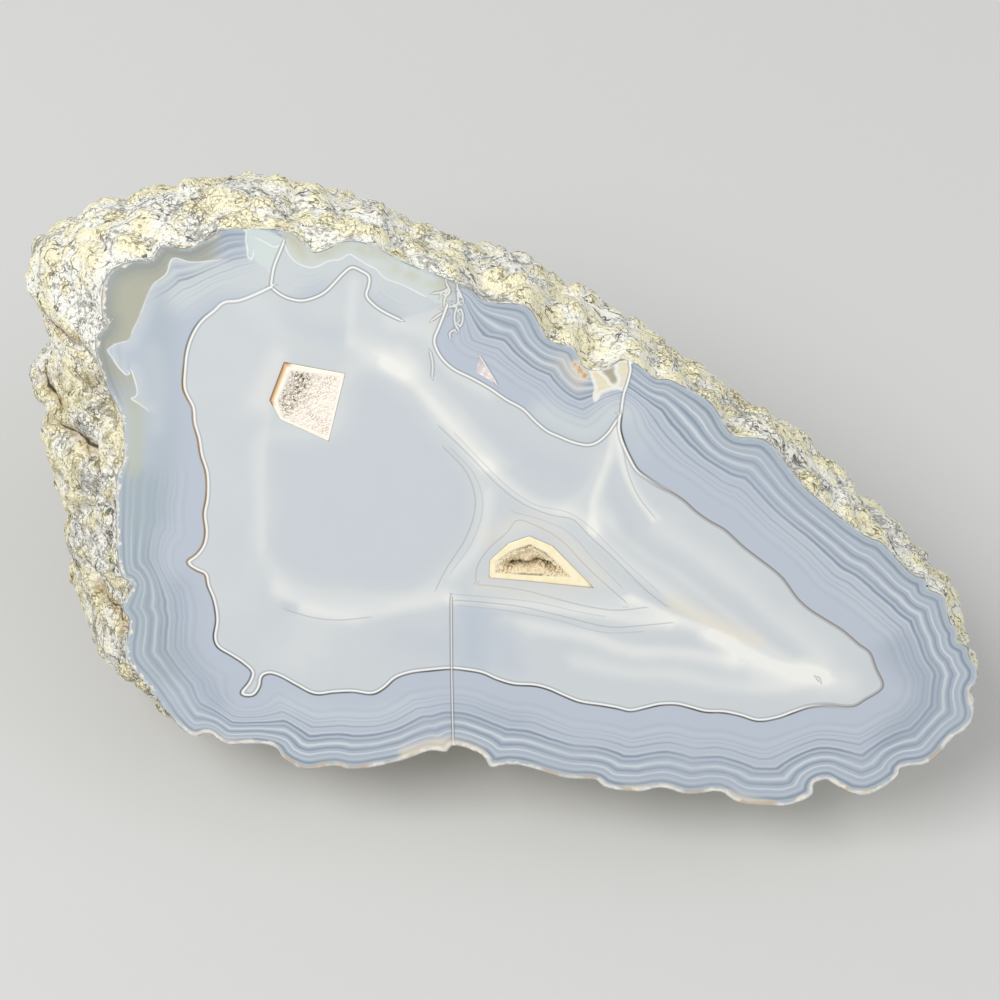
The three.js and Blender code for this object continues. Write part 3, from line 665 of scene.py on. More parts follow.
@dataclass
class RindForm:
    """The outer form of the stone behind the polished face, with its knobs, pits and clefts."""

    lumps: Domes = Domes(520, (4.4, 8.2), (1.3, 3.1), 1)
    dents: Domes = Domes(70, (2.8, 4.6), (0.8, 1.9), 11)
    knobs: Grains = Grains(size=2.7, height=0.55, reach=0.85, mean=0.45, bend=1.0, channel=40)
    grains: Grains = Grains(size=1.3, height=0.3, reach=0.85, mean=0.45, bend=0.4, channel=50)
    nodules: Grains = Grains(size=5.4, height=1.0, reach=0.8, mean=0.4, bend=1.6, channel=70, groove=0.3)
    shift_size: float = 2.4
    shift_reach: float = 0.5
    shift_channel: int = 30
    rough_start: float = 1.6
    sink: float = 0.75
    rim_inset: float = 0.06
    curve_steps: Point = (40, 120)
    even_steps: int = 4000
    rim_reach: tuple[np.ndarray, np.ndarray] = field(init=False)
    girdle_reach: tuple[np.ndarray, np.ndarray] = field(init=False)
    girdle_turns: np.ndarray = field(init=False)

    def __post_init__(self) -> None:
        """Works out the tables of the reach, and of the angle at each share of the way along the girdle."""
        rim_steps, girdle_steps = self.curve_steps
        girdle = smooth_curve(GIRDLE, True, girdle_steps)
        self.rim_reach = self.reach_by_angle(smooth_curve(RIM, True, rim_steps))
        self.girdle_reach = self.reach_by_angle(girdle)
        even = resample(girdle, self.even_steps, True)
        turns = np.unwrap(np.arctan2(even[:, 1] - HEART[1], even[:, 0] - HEART[0]))
        lap = turns[0] + 2 * math.pi * np.sign(turns[-1] - turns[0])
        self.girdle_turns = np.append(turns, lap)

    @staticmethod
    def reach_by_angle(curve: np.ndarray) -> tuple[np.ndarray, np.ndarray]:
        """Sorts a curve's points by their angle around HEART."""
        away = curve - np.array(HEART)
        angle = np.arctan2(away[:, 1], away[:, 0])
        order = np.argsort(angle)
        return angle[order], np.linalg.norm(away, axis=1)[order]

    def smooth(self, around: np.ndarray, depth: np.ndarray) -> np.ndarray:
        """The smooth rind as a function of two parameters.

        The reach from HEART goes from the rim's to the girdle's by the sine of the depth up to GIRDLE_DEPTH.
        It is multiplied by (1 - depth^r)^(1/r), r being ROUNDNESS, which closes the back like a rounded box.

        Args:
            around: shares of the way along the girdle, from 0 to 1.
            depth: from 0 at the rim to 1 at the back.

        Returns:
            Rows of u, v, w in millimetres.
        """
        shares = np.arange(self.even_steps + 1) / self.even_steps
        angle = np.interp(around % 1, shares, self.girdle_turns)
        wrapped = (angle + math.pi) % (2 * math.pi) - math.pi
        rim = np.interp(wrapped, *self.rim_reach, period=2 * math.pi)
        girdle = np.interp(wrapped, *self.girdle_reach, period=2 * math.pi)
        swell = np.sin(math.pi / 2 * np.minimum(1, depth * BACK_DEPTH / GIRDLE_DEPTH))
        closing = (1 - depth**ROUNDNESS) ** (1 / ROUNDNESS)
        reach = (rim + (girdle - rim) * swell) * closing
        u = HEART[0] + BACK_DRIFT[0] * depth + reach * np.cos(angle)
        v = HEART[1] + BACK_DRIFT[1] * depth + reach * np.sin(angle)
        return np.column_stack([u, v, depth * BACK_DEPTH])

    def rim(self, around: np.ndarray) -> np.ndarray:
        """The rim of the polished face, drawn in by rim_inset towards HEART."""
        points = self.smooth(around, np.zeros(len(around)))
        away = points - np.array([*HEART, 0.0])
        return points - self.rim_inset * away / np.linalg.norm(away, axis=1)[:, None]

    def highest_dome(self, points: np.ndarray, domes: Domes) -> np.ndarray:
        """The greatest height (1 - (distance / radius)^2) over the domes that cover each point.

        Args:
            points: rows of u, v, w in millimetres.
            domes: how many there are, and their sizes.

        Returns:
            The height at each point, 0 between the domes.
        """
        index = np.arange(domes.count, dtype=float)
        around = (index * GOLDEN + domes.jitter[0] * scatter(index, domes.channel)) % 1
        along = index + (1 - domes.jitter[1]) + domes.jitter[1] * scatter(index, domes.channel + 1)
        middles = self.smooth(around, np.minimum(domes.deepest, along / domes.count))
        radii = domes.radius[0] + np.ptp(domes.radius) * scatter(index, domes.channel + 2)
        heights = domes.height[0] + np.ptp(domes.height) * scatter(index, domes.channel + 3)
        highest = np.zeros(len(points))
        for middle, radius, height in zip(middles, radii, heights):
            near = np.linalg.norm(points - middle, axis=1) / radius
            highest = np.maximum(highest, height * (1 - near * near))
        return highest

    @staticmethod
    def clefts(points: np.ndarray) -> np.ndarray:
        """How deep the clefts on the left side are: a bell curve of the distance from their chains."""
        chains = [as_points(chain) for chain in CREVICES]
        away = chain_nearness(points[:, 1:3], chains).distance
        depth = CREVICE_DEPTH * np.exp(-((away / CREVICE_WIDTH) ** 2))
        return np.where(points[:, 0] > LEFT_SIDE, 0.0, depth)

    @staticmethod
    def outward(points: np.ndarray) -> np.ndarray:
        """Arrows of length 1 from the spine inside the stone towards each point."""
        start, end = (np.array(end) for end in SPINE)
        share = np.clip((points - start) @ (end - start) / ((end - start) @ (end - start)), 0, 1)
        arrows = points - (start + share[:, None] * (end - start))
        return arrows / np.linalg.norm(arrows, axis=1)[:, None]

    def knobby(self, around: np.ndarray, depth: np.ndarray) -> tuple[np.ndarray, np.ndarray]:
        """The rind with its relief: the smooth form moved outwards by the sum of its knobs, pits and clefts.

        Args:
            around: shares of the way along the girdle.
            depth: from 0 at the rim to 1 at the back.

        Returns:
            Rows of u, v, w in millimetres, and how high each point stands on its nodule, from 0 to 1.
        """
        points = self.smooth(around, depth)
        w = points[:, 2]
        near_belly = np.linalg.norm(points - np.array(BELLY_MIDDLE), axis=1) / BELLY_RADIUS
        bulge = BELLY_SWELL * np.clip(1 - near_belly**2, 0, None) ** 2
        coarse = self.highest_dome(points, self.lumps) - MEAN_LUMP - self.highest_dome(points, self.dents)
        channels = self.shift_channel + np.arange(3)
        shift = np.column_stack([soft_noise(points, self.shift_size, channel) for channel in channels])
        shift *= self.shift_reach
        nodule = self.nodules.rise(points, shift)
        layers = (self.knobs, self.grains)
        rough = sum(layer.height * (layer.rise(points, shift) - layer.mean) for layer in layers)
        rough += self.nodules.height * (nodule - self.nodules.mean)
        relief = bulge + coarse * ramp(w, 0, RELIEF_START) - self.clefts(points) * ramp(w, 0, CREVICE_START)
        relief += (rough - self.sink) * ramp(w, 0, self.rough_start)
        return points + self.outward(points) * relief[:, None], nodule


# Markings of the polished face


@dataclass
class FaceMarkings:
    """Works out the attributes from which the face's finish draws its bands, lines and clouds."""

    rim: np.ndarray
    drift_size: float = 9.0
    drift_reach: float = 0.7
    drift_channels: tuple[int, int] = (21, 22)
    halo: Place = (0.16, 1.6, 1.8)
    cloud: Place = (0.3, -3.5, 1.0)
    curve_steps: int = 4
    stroke_steps: int = 5
    outline_steps: int = 8

    def strokes(self, points: np.ndarray, strokes: Sequence[Stroke]) -> np.ndarray:
        """Sums bell-shaped streaks: strength times exp(-(distance / width)^2), the width set by the side.

        Args:
            points: rows of u, v in millimetres.
            strokes: the streaks.

        Returns:
            The sum at each point.
        """
        total = np.zeros(len(points))
        for stroke in strokes:
            near = chain_nearness(points, [smooth_curve(stroke.points, False, self.stroke_steps)])
            width = stroke.width * (1 + stroke.lean * np.tanh(near.side / stroke.width))
            total += stroke.strength * np.exp(-((near.distance / width) ** 2))
        return total

    def line(self, points: np.ndarray, chains: Sequence[Sequence[Point]]) -> Nearness:
        """How near each point is to the smoothest of some drawn lines."""
        return chain_nearness(points, [smooth_curve(chain, False, self.curve_steps) for chain in chains])

    def zone(self, points: np.ndarray) -> np.ndarray:
        """Millimetres outside the inner part of the face, which the main, bay and top lines enclose."""
        lines = (MAIN_LINE, BAY_LINE, TOP_LINE)
        main, bay, top = (smooth_curve(line, False, self.curve_steps) for line in lines)
        return self.area(points, np.vstack([main, bay, top[::-1]]))

    @staticmethod
    def area(points: np.ndarray, outline: np.ndarray) -> np.ndarray:
        """Millimetres outside a closed outline, and less than 0 inside it."""
        distance = chain_nearness(points, [outline], closed=True).distance
        return np.where(inside(points, outline), -distance, distance)

    def lines(self, points: np.ndarray) -> dict[str, np.ndarray]:
        """The distance to each set of drawn lines, and the same with a minus sign on their right-hand side.

        Args:
            points: rows of u, v in millimetres.

        Returns:
            One array of numbers for each attribute's name.
        """
        found = {
            "main": self.line(points, [MAIN_LINE]),
            "white": self.line(points, [BAY_LINE, DRIP_LINE, TOP_LINE, TOP_STEM]),
            "wavy": self.line(points, [WAVY_LINE, WEDGE_RIDGE, WEDGE_HOOK]),
            "pale": self.line(points, [LEFT_BAND, LEFT_HOOK]),
            "crack": chain_nearness(points, [as_points(CRACK)]),
            "fine": self.line(points, FINE_LINES),
            "faint": self.line(points, FAINT_LINES),
            "knot": self.line(points, KNOT_AND_HIGHLIGHT_LINES),
        }
        values = {name + "_side": near.side for name, near in found.items()}
        values |= {name + "_away": near.distance for name, near in found.items()}
        values["main_along"] = found["main"].along
        return values

    def clouds(self, points: np.ndarray) -> dict[str, np.ndarray]:
        """The milky and grey clouds and the pale parts of the outer zone, all bent by slow waves.

        Args:
            points: rows of u, v in millimetres.

        Returns:
            One array of numbers for each attribute's name.
        """
        solid = np.column_stack([points, np.zeros(len(points))])
        drift = [soft_noise(solid, self.drift_size, channel) for channel in self.drift_channels]
        drifted = points + self.drift_reach * np.column_stack(drift)
        outside = self.area(drifted, smooth_curve(CLOUD_OUTLINE, True, self.outline_steps))
        halo, halo_away, halo_width = self.halo
        cloud, cloud_start, cloud_end = self.cloud
        milk = self.strokes(drifted, MILK_STROKES)
        milk += halo * np.exp(-(((outside - halo_away) / halo_width) ** 2))
        milk -= cloud * (1 - ramp(outside, cloud_start, cloud_end))
        return {"milk": milk, "pale_zone": self.strokes(drifted, PALE_STROKES)}

    def attributes(self, points: np.ndarray) -> dict[str, np.ndarray]:
        """All the face's attributes at its points.

        Args:
            points: rows of u, v in millimetres.

        Returns:
            One array of numbers for each attribute's name.
        """
        u, v = points[:, 0], points[:, 1]
        rim = chain_nearness(points, [self.rim], closed=True).distance
        zone = self.zone(points)
        lines = self.lines(points)
        edge = self.line(points, [[*LEFT_BAND, *LEFT_HOOK]])
        beige = np.where(edge.side < 0, 1 - ramp(edge.distance, 5, 14), 0)
        cream = np.where(lines["wavy_side"] > 0, 1 - ramp(lines["wavy_away"], 3.5, 7), 0)
        return lines | self.clouds(points) | {
            "rim_mm": rim,
            "zone_mm": zone,
            "share": rim / np.maximum(rim + np.maximum(zone, 0), 0.01),
            "banding": np.clip(1 - self.strokes(points, PLAIN_STROKES), 0, 1),
            "low_edge": ramp(-v + 0.12 * u, 38, 46),
            "left_edge": ramp(-u, 62, 68) * ramp(-v, -46, -40),
            "beige": beige * ramp(-u, 52, 57) * ramp(v, 12, 22),
            "top_cream": cream * ramp(u, -43.5, -41.5),
            "drip_mm": self.area(points, as_points(DRIP)),
            "dull_mm": self.area(points, smooth_curve(DRIP_HOLLOW, True, self.curve_steps)),
            "wedge_mm": self.area(points, as_points(WEDGE)),
            "warm": self.strokes(points, WARM_STROKES),
            "green": self.strokes(points, GREEN_STROKES),
            "cyan": self.strokes(points, CYAN_STROKES),
        }


# Finishes

Socket = bpy.types.NodeSocket
Colour = tuple[float, float, float, float]
QUARTZ_IOR = 1.54


class Painter:
    """Adds and joins the nodes of one material. A value is a socket, or a plain number or colour."""

    def __init__(self, name: str) -> None:
        """Starts a material with its shader and output.

        Args:
            name: the material's name.
        """
        self.material = bpy.data.materials.new(name)
        self.material.use_nodes = True
        self.tree = self.material.node_tree
        self.tree.nodes.clear()
        output = self.tree.nodes.new("ShaderNodeOutputMaterial")
        self.shader = self.tree.nodes.new("ShaderNodeBsdfPrincipled")
        self.tree.links.new(self.shader.outputs[0], output.inputs["Surface"])

    def feed(self, socket: Socket, value: object) -> None:
        """Joins a socket to another, or gives it a plain value."""
        if isinstance(value, bpy.types.NodeSocket):
            self.tree.links.new(value, socket)
        else:
            socket.default_value = value

    def math(self, operation: str, *values: object, kind: str = "ShaderNodeMath") -> Socket:
        """One node of arithmetic."""
        node = self.tree.nodes.new(kind)
        node.operation = operation
        for socket, value in zip(node.inputs, values):
            self.feed(socket, value)
        return node.outputs[0]

    def vector_math(self, operation: str, *values: object) -> Socket:
        """One node of arithmetic on vectors."""
        return self.math(operation, *values, kind="ShaderNodeVectorMath")

    def times(self, first: object, second: object) -> Socket:
        """The product of two values."""
        return self.math("MULTIPLY", first, second)

    def scaled(self, value: object, factor: object, offset: object) -> Socket:
        """A value times a factor, plus an offset."""
        return self.math("MULTIPLY_ADD", value, factor, offset)

    def attribute(self, name: str) -> Socket:
        """A number stored on the mesh's points, by its name."""
        node = self.tree.nodes.new("ShaderNodeAttribute")
        node.attribute_name = name
        return node.outputs["Fac"]

    def place_mm(self) -> Socket:
        """The place on the object, in millimetres."""
        coordinates = self.tree.nodes.new("ShaderNodeTexCoord")
        return self.vector_math("MULTIPLY", coordinates.outputs["Object"], (1 / MM, 1 / MM, 1 / MM))

    def step(self, value: object, low: float, high: float) -> Socket:
        """Rises smoothly from 0 to 1 as a value goes from low to high, or falls where low is the greater.

        Args:
            value: the value.
            low: where the result is 0.
            high: where the result is 1.

        Returns:
            The socket of the result.
        """
        node = self.tree.nodes.new("ShaderNodeMapRange")
        node.interpolation_type = "SMOOTHSTEP"
        self.feed(node.inputs["Value"], value)
        node.inputs["From Min"].default_value = low
        node.inputs["From Max"].default_value = high
        return node.outputs["Result"]

    def mix(self, factor: object, first: object, second: object) -> Socket:
        """Blends two colours.

        Args:
            factor: 0 for the first colour, 1 for the second.
            first: the colour that is there.
            second: the colour laid over it.

        Returns:
            The socket of the blended colour.
        """
        node = self.tree.nodes.new("ShaderNodeMix")
        node.data_type = "RGBA"
        self.feed(node.inputs["Factor"], factor)
        self.feed(node.inputs[6], first)
        self.feed(node.inputs[7], second)
        return node.outputs[2]

    def colours(self, value: Socket, stops: Sequence[tuple[float, Colour]]) -> Socket:
        """A run of colours along a value.

        Args:
            value: the value, from 0 to 1.
            stops: each colour with the value where it stands.

        Returns:
            The socket of the colour.
        """
        node = self.tree.nodes.new("ShaderNodeValToRGB")
        places = node.color_ramp.elements
        while len(places) < len(stops):
            places.new(0.5)
        for element, (position, colour) in zip(places, stops):
            element.position = position
            element.color = colour
        self.feed(node.inputs["Fac"], value)
        return node.outputs["Color"]

    def noise_node(self, size: float, detail: float, rough: float) -> bpy.types.Node:
        """A noise node that isn't joined to a place yet."""
        node = self.tree.nodes.new("ShaderNodeTexNoise")
        node.inputs["Scale"].default_value = 1 / size
        node.inputs["Detail"].default_value = detail
        node.inputs["Roughness"].default_value = rough
        return node

    def noise(self, place: Socket, size: float, detail: float = 2.0, rough: float = 0.5) -> Socket:
        """Fractal noise from 0 to 1 at a place in millimetres."""
        node = self.noise_node(size, detail, rough)
        self.feed(node.inputs["Vector"], place)
        return node.outputs["Fac"]

    def stripes(self, value: Socket, size: float, detail: float) -> Socket:
        """Noise along one value, so that it is the same wherever the value is."""
        node = self.noise_node(size, detail, 0.5)
        node.noise_dimensions = "1D"
        self.feed(node.inputs["W"], value)
        return node.outputs["Fac"]

    def cells(self, place: Socket, size: float) -> Socket:
        """The distance from the edge of the cell that a place is in."""
        node = self.tree.nodes.new("ShaderNodeTexVoronoi")
        node.feature = "DISTANCE_TO_EDGE"
        self.feed(node.inputs["Vector"], place)
        node.inputs["Scale"].default_value = 1 / size
        return node.outputs["Distance"]

    def warped(self, place: Socket, size: float, amount: float) -> Socket:
        """A place moved about by noise."""
        shift = self.noise_node(size, 1.0, 0.5)
        self.feed(shift.inputs["Vector"], place)
        return self.vector_math("MULTIPLY_ADD", shift.outputs["Color"], (amount, amount, amount), place)

    def along_rim(self, place: Socket, squeeze: float) -> Socket:
        """Turns a place into the face's frame and squeezes it along u and v, to draw patterns out."""
        turned = self.tree.nodes.new("ShaderNodeMapping")
        self.feed(turned.inputs["Vector"], place)
        turned.inputs["Rotation"].default_value = (-FACE_TILT, 0.0, 0.0)
        return self.vector_math("MULTIPLY", turned.outputs[0], (squeeze, squeeze, 1.0))

    def bump(self, height: Socket, distance_mm: float, strength: float = 1.0) -> None:
        """Gives the shader a bump."""
        node = self.tree.nodes.new("ShaderNodeBump")
        node.inputs["Strength"].default_value = strength
        node.inputs["Distance"].default_value = distance_mm * MM
        self.feed(node.inputs["Height"], height)
        self.tree.links.new(node.outputs[0], self.shader.inputs["Normal"])

    def finish(self, colour: object, roughness: object) -> bpy.types.Material:
        """Gives the shader its colour and roughness, and quartz's refraction."""
        self.feed(self.shader.inputs["Base Color"], colour)
        self.feed(self.shader.inputs["Roughness"], roughness)
        self.shader.inputs["IOR"].default_value = QUARTZ_IOR
        return self.material


@dataclass(frozen=True)
class PolishedFinish:
    """The polished face: clear grey-blue chalcedony with milky clouds, wavy bands and thin lines."""

    milky: Colour = linear(240, 240, 235)
    grey: Colour = linear(206, 211, 214)
    clear: Colour = linear(188, 197, 209)
    outer_blue: Colour = linear(187, 196, 208)
    outer_cyan: Colour = linear(170, 182, 189)
    outer_green: Colour = linear(190, 192, 168)
    outer_pale: Colour = linear(206, 212, 214)
    beige_near_line: Colour = linear(178, 177, 153)
    beige_near_rind: Colour = linear(154, 156, 147)
    rim_strip: Colour = linear(188, 200, 204)
    top_pale: Colour = linear(212, 220, 216)
    top_cream: Colour = linear(200, 199, 176)
    wedge: Colour = linear(211, 222, 219)
    band_dark: Colour = linear(142, 154, 169)
    band_light: Colour = linear(206, 213, 219)
    line_white: Colour = linear(244, 244, 240)
    line_dark: Colour = linear(84, 80, 76)
    line_soft: Colour = linear(150, 154, 162)
    line_edge: Colour = linear(134, 137, 138)
    line_brown: Colour = linear(150, 116, 58)
    line_sepia: Colour = linear(118, 100, 80)
    fine_grey: Colour = linear(158, 160, 158)
    cream: Colour = linear(236, 222, 196)
    drip: Colour = linear(232, 228, 208)
    drip_warm: Colour = linear(240, 224, 182)
    dull: Colour = linear(160, 156, 128)
    rust: Colour = linear(206, 150, 72)
    low_rim: Colour = linear(240, 232, 216)
    low_rim_warm: Colour = linear(206, 176, 134)
    dark_rim: Colour = linear(104, 100, 94)
    band_width: float = 0.056
    band_wobble: float = 0.012
    glow: float = 0.12
    glow_depth_mm: float = 0.6

    def ground(self, p: Painter, place: Socket) -> Socket:
        """The colours behind the lines: the inner part, with its clouds, and the outer zone."""
        milk = p.math("ADD", p.attribute("milk"), p.scaled(p.noise(place, 10, 4, 0.55), 0.3, -0.15))
        stops = [(0.08, self.clear), (0.5, self.grey), (0.95, self.milky)]
        inner = p.colours(p.scaled(milk, 0.42, 0.5), stops)
        return p.mix(p.step(p.attribute("zone_mm"), -0.3, 0.5), inner, self.outer_zone(p, place))

    def outer_zone(self, p: Painter, place: Socket) -> Socket:
        """The zone between the main line and the rind, with its bands and its beige, cream and cyan parts.

        Args:
            p: the face's painter.
            place: the place in millimetres.

        Returns:
            The socket of the colour.
        """
        rim = p.attribute("rim_mm")
        pale = p.attribute("pale_zone")
        outer = p.mix(p.step(p.attribute("cyan"), 0, 1), self.outer_blue, self.outer_cyan)
        outer = p.mix(p.step(pale, 0.0, 1.0), outer, self.outer_pale)
        outer = p.mix(p.times(p.step(pale, 0.0, -1.0), 0.8), outer, self.band_dark)
        outer = p.mix(p.times(p.step(p.attribute("green"), 0.05, 1.0), 0.8), outer, self.outer_green)
        outer = p.mix(p.times(p.step(rim, 3.4, 0.6), 0.45), outer, self.rim_strip)
        outer = self.banded(p, outer, place)
        beige = p.mix(p.step(rim, 4.5, 0.5), self.beige_near_line, self.beige_near_rind)
        outer = p.mix(p.times(p.attribute("beige"), 0.85), outer, beige)
        near_top = p.times(p.step(rim, 4.6, 0.6), p.step(p.noise(place, 7), 0.38, 0.6))
        top = p.mix(near_top, self.top_pale, self.top_cream)
        outer = p.mix(p.times(p.attribute("top_cream"), 0.85), outer, top)
        edge = p.scaled(p.noise(place, 2), 0.8, p.attribute("wedge_mm"))
        return p.mix(p.times(p.step(edge, 0.7, 0.2), 0.9), outer, self.wedge)

    def banded(self, p: Painter, outer: Socket, place: Socket) -> Socket:
        """Draws wavy bands along the share of the way from the rim to the main line, darkest near the rim.

        Args:
            p: the face's painter.
            outer: the outer zone's colour.
            place: the place in millimetres.

        Returns:
            The socket of the colour with its bands.
        """
        wobble = p.scaled(p.noise(place, 3), 2 * self.band_wobble, -self.band_wobble)
        level = p.math("ADD", p.attribute("share"), wobble)
        fade = p.times(p.step(level, 0.02, 0.09), p.step(level, 0.85, 0.4))
        weight = p.times(p.times(p.attribute("banding"), fade), p.times(p.noise(place, 14), 1.9))
        stripe = p.stripes(level, self.band_width, 0.7)
        dusk = p.times(p.step(level, 0.6, 0.15), p.attribute("banding"))
        outer = p.mix(p.times(dusk, 0.32), outer, self.band_dark)
        outer = p.mix(p.times(p.step(stripe, 0.48, 0.68), weight), outer, self.band_dark)
        light = p.times(p.step(stripe, 0.47, 0.32), weight)
        return p.mix(p.times(light, 0.85), outer, self.band_light)

    def drawn(self, p: Painter, ground: Socket, place: Socket) -> Socket:
        """Draws the thin lines, the drip of rind and the crack over the ground.

        Args:
            p: the face's painter.
            ground: the ground's colour.
            place: the place in millimetres.

        Returns:
            The socket of the colour with its lines.
        """
        colour = ground
        for line, strength in (("fine", 0.5), ("faint", 0.3)):
            colour = p.mix(p.times(self.stroke(p, line, 0.03, 0.2), strength), colour, self.fine_grey)
        for line, glow_width, glow_strength in (("pale", 3.2, 0.6), ("wavy", 1.6, 0.5)):
            left = p.step(p.attribute(line + "_side"), -0.15, 0.1)
            glow = p.times(p.step(p.attribute(line + "_away"), glow_width, 0.0), left)
            colour = p.mix(p.times(glow, glow_strength), colour, self.outer_pale)
            thin = self.stroke(p, line, 0.02, 0.24)
            colour = p.mix(p.times(thin, p.times(p.noise(place, 6), 1.2)), colour, self.line_white)
        colour = self.dripped(p, colour, place)
        colour = self.white_lines(p, colour)
        colour = self.main_line(p, colour, place)
        colour = p.mix(p.times(self.stroke(p, "crack", 0.2, 0.5), 0.55), colour, self.line_dark)
        return p.mix(p.times(self.stroke(p, "crack", 0.03, 0.2), 0.8), colour, self.line_white)

    def dripped(self, p: Painter, colour: Socket, place: Socket) -> Socket:
        """Draws the drip of rind: cream, white along its edge, with a dull hollow that has a white edge too.

        Args:
            p: the face's painter.
            colour: the colour that is there.
            place: the place in millimetres.

        Returns:
            The socket of the colour with the drip.
        """
        outside = p.attribute("drip_mm")
        cream = p.mix(p.step(p.noise(place, 2, 3), 0.42, 0.6), self.drip, self.drip_warm)
        colour = p.mix(p.times(p.step(outside, 0.25, -0.3), 0.9), colour, cream)
        edge = p.times(p.step(outside, 0.4, 0.1), p.step(outside, -0.6, -0.2))
        colour = p.mix(p.times(edge, 0.75), colour, self.line_white)
        dull = p.attribute("dull_mm")
        colour = p.mix(p.times(p.step(dull, 0.7, 0.35), 0.7), colour, self.line_white)
        return p.mix(p.times(p.step(dull, 0.2, -0.5), 0.85), colour, self.dull)

    def white_lines(self, p: Painter, colour: Socket) -> Socket:
        """Draws the plain white lines, the threads of the knot and the painted highlight on the pit's edge,
        with a narrow grey edge on both sides.

        Args:
            p: the face's painter.
            colour: the colour that is there.

        Returns:
            The socket of the colour with the lines.
        """
        for line, core, edge, strength in (("knot", 0.2, 0.45, 0.75), ("white", 0.22, 0.56, 1.0)):
            grey = self.stroke(p, line, core + 0.14, edge)
            colour = p.mix(p.times(grey, 0.6), colour, self.line_edge)
            white = self.stroke(p, line, 0.45 * core, 1.25 * core)
            colour = p.mix(p.times(white, strength), colour, self.line_white)
        return colour

    def main_line(self, p: Painter, colour: Socket, place: Socket) -> Socket:
        """Draws the line around the inner part: brown on the left, dark below, sepia on the upper right.

        Args:
            p: the face's painter.
            colour: the colour that is there.
            place: the place in millimetres.

        Returns:
            The socket of the colour with the line.
        """
        side = p.attribute("main_side")
        along = p.attribute("main_along")
        ends = p.step(p.attribute("main_away"), 1.4, 1.0)
        left = p.times(p.step(along, 0.05, 0.1), p.step(along, 0.27, 0.22))
        upper = p.times(p.step(along, 0.7, 0.74), p.step(along, 0.97, 0.92))
        outer_edge = p.times(p.step(side, -0.66, -0.44), p.step(side, -0.08, -0.24))
        outer_edge = p.times(outer_edge, p.math("SUBTRACT", 1.0, upper))
        inner_edge = p.times(p.step(side, 0.62, 0.4), p.step(side, 0.12, 0.28))
        tint = p.mix(upper, p.mix(left, self.line_dark, self.line_brown), self.line_sepia)
        strength = p.times(ends, p.scaled(p.noise(place, 5), 0.9, 0.42))
        strength = p.times(strength, p.scaled(p.step(along, 0.03, 0.07), 0.8, 0.2))
        colour = p.mix(p.times(outer_edge, strength), colour, tint)
        colour = p.mix(p.times(p.times(inner_edge, ends), 0.5), colour, self.line_soft)
        across = p.math("ABSOLUTE", p.math("ADD", side, p.times(left, -0.06)))
        core = p.times(p.step(across, 0.28, 0.1), ends)
        core = p.times(core, p.scaled(upper, -0.3, 1.0))
        return p.mix(core, colour, p.mix(upper, self.line_white, self.line_sepia))

    @staticmethod
    def stroke(p: Painter, line: str, full: float, gone: float) -> Socket:
        """How strongly a line shows; the true distance ends it at its ends."""
        across = p.math("ABSOLUTE", p.attribute(line + "_side"))
        near = p.step(p.attribute(line + "_away"), gone + 0.7, gone + 0.3)
        return p.times(p.step(across, gone, full), near)

    def rimmed(self, p: Painter, colour: Socket, place: Socket) -> Socket:
        """Draws what lies on the rim: cream and rust below, a thin dark edge above and beads on the left.

        Args:
            p: the face's painter.
            colour: the colour that is there.
            place: the place in millimetres.

        Returns:
            The socket of the colour with its rim.
        """
        rim = p.attribute("rim_mm")
        low = p.attribute("low_edge")
        crust = p.scaled(p.noise(place, 2.5, 3), -1.6, rim)
        tint = p.mix(p.step(p.noise(place, 6), 0.5, 0.62), self.low_rim, self.low_rim_warm)
        colour = p.mix(p.times(p.step(crust, 0.3, -0.5), low), colour, tint)
        dark = p.times(p.step(rim, 0.3, 0.05), p.step(p.noise(place, 3), 0.4, 0.55))
        dark = p.times(dark, p.math("SUBTRACT", 1.0, low))
        colour = p.mix(p.times(dark, 0.7), colour, self.dark_rim)
        beads = p.scaled(p.noise(place, 1.3, 3, 0.65), -3.2, rim)
        beaded = p.times(p.attribute("left_edge"), p.step(p.noise(place, 3.2), 0.4, 0.52))
        return p.mix(p.times(p.step(beads, -0.9, -1.3), beaded), colour, self.low_rim)

    def material(self) -> bpy.types.Material:
        """Builds the face's material.

        Returns:
            The finished material.
        """
        p = Painter("polished_face")
        place = p.place_mm()
        colour = self.drawn(p, self.ground(p, place), place)
        warm = p.attribute("warm")
        colour = p.mix(p.times(p.step(warm, 0.0, 1.0), 0.7), colour, self.cream)
        speckled = p.scaled(p.noise(place, 0.9, 3, 0.7), 1.4, -0.7)
        rusty = p.times(p.step(warm, 0.75, 1.4), p.step(speckled, -0.1, 0.18))
        colour = p.mix(p.times(rusty, 0.85), colour, self.rust)
        colour = self.rimmed(p, colour, place)
        p.bump(p.noise(place, 9), 0.015, 0.4)
        p.shader.inputs["Subsurface Weight"].default_value = self.glow
        p.shader.inputs["Subsurface Scale"].default_value = self.glow_depth_mm * MM
        p.shader.inputs["Subsurface Radius"].default_value = (1.0, 1.0, 1.0)
        return p.finish(colour, p.scaled(p.noise(place, 20), 0.08, 0.2))


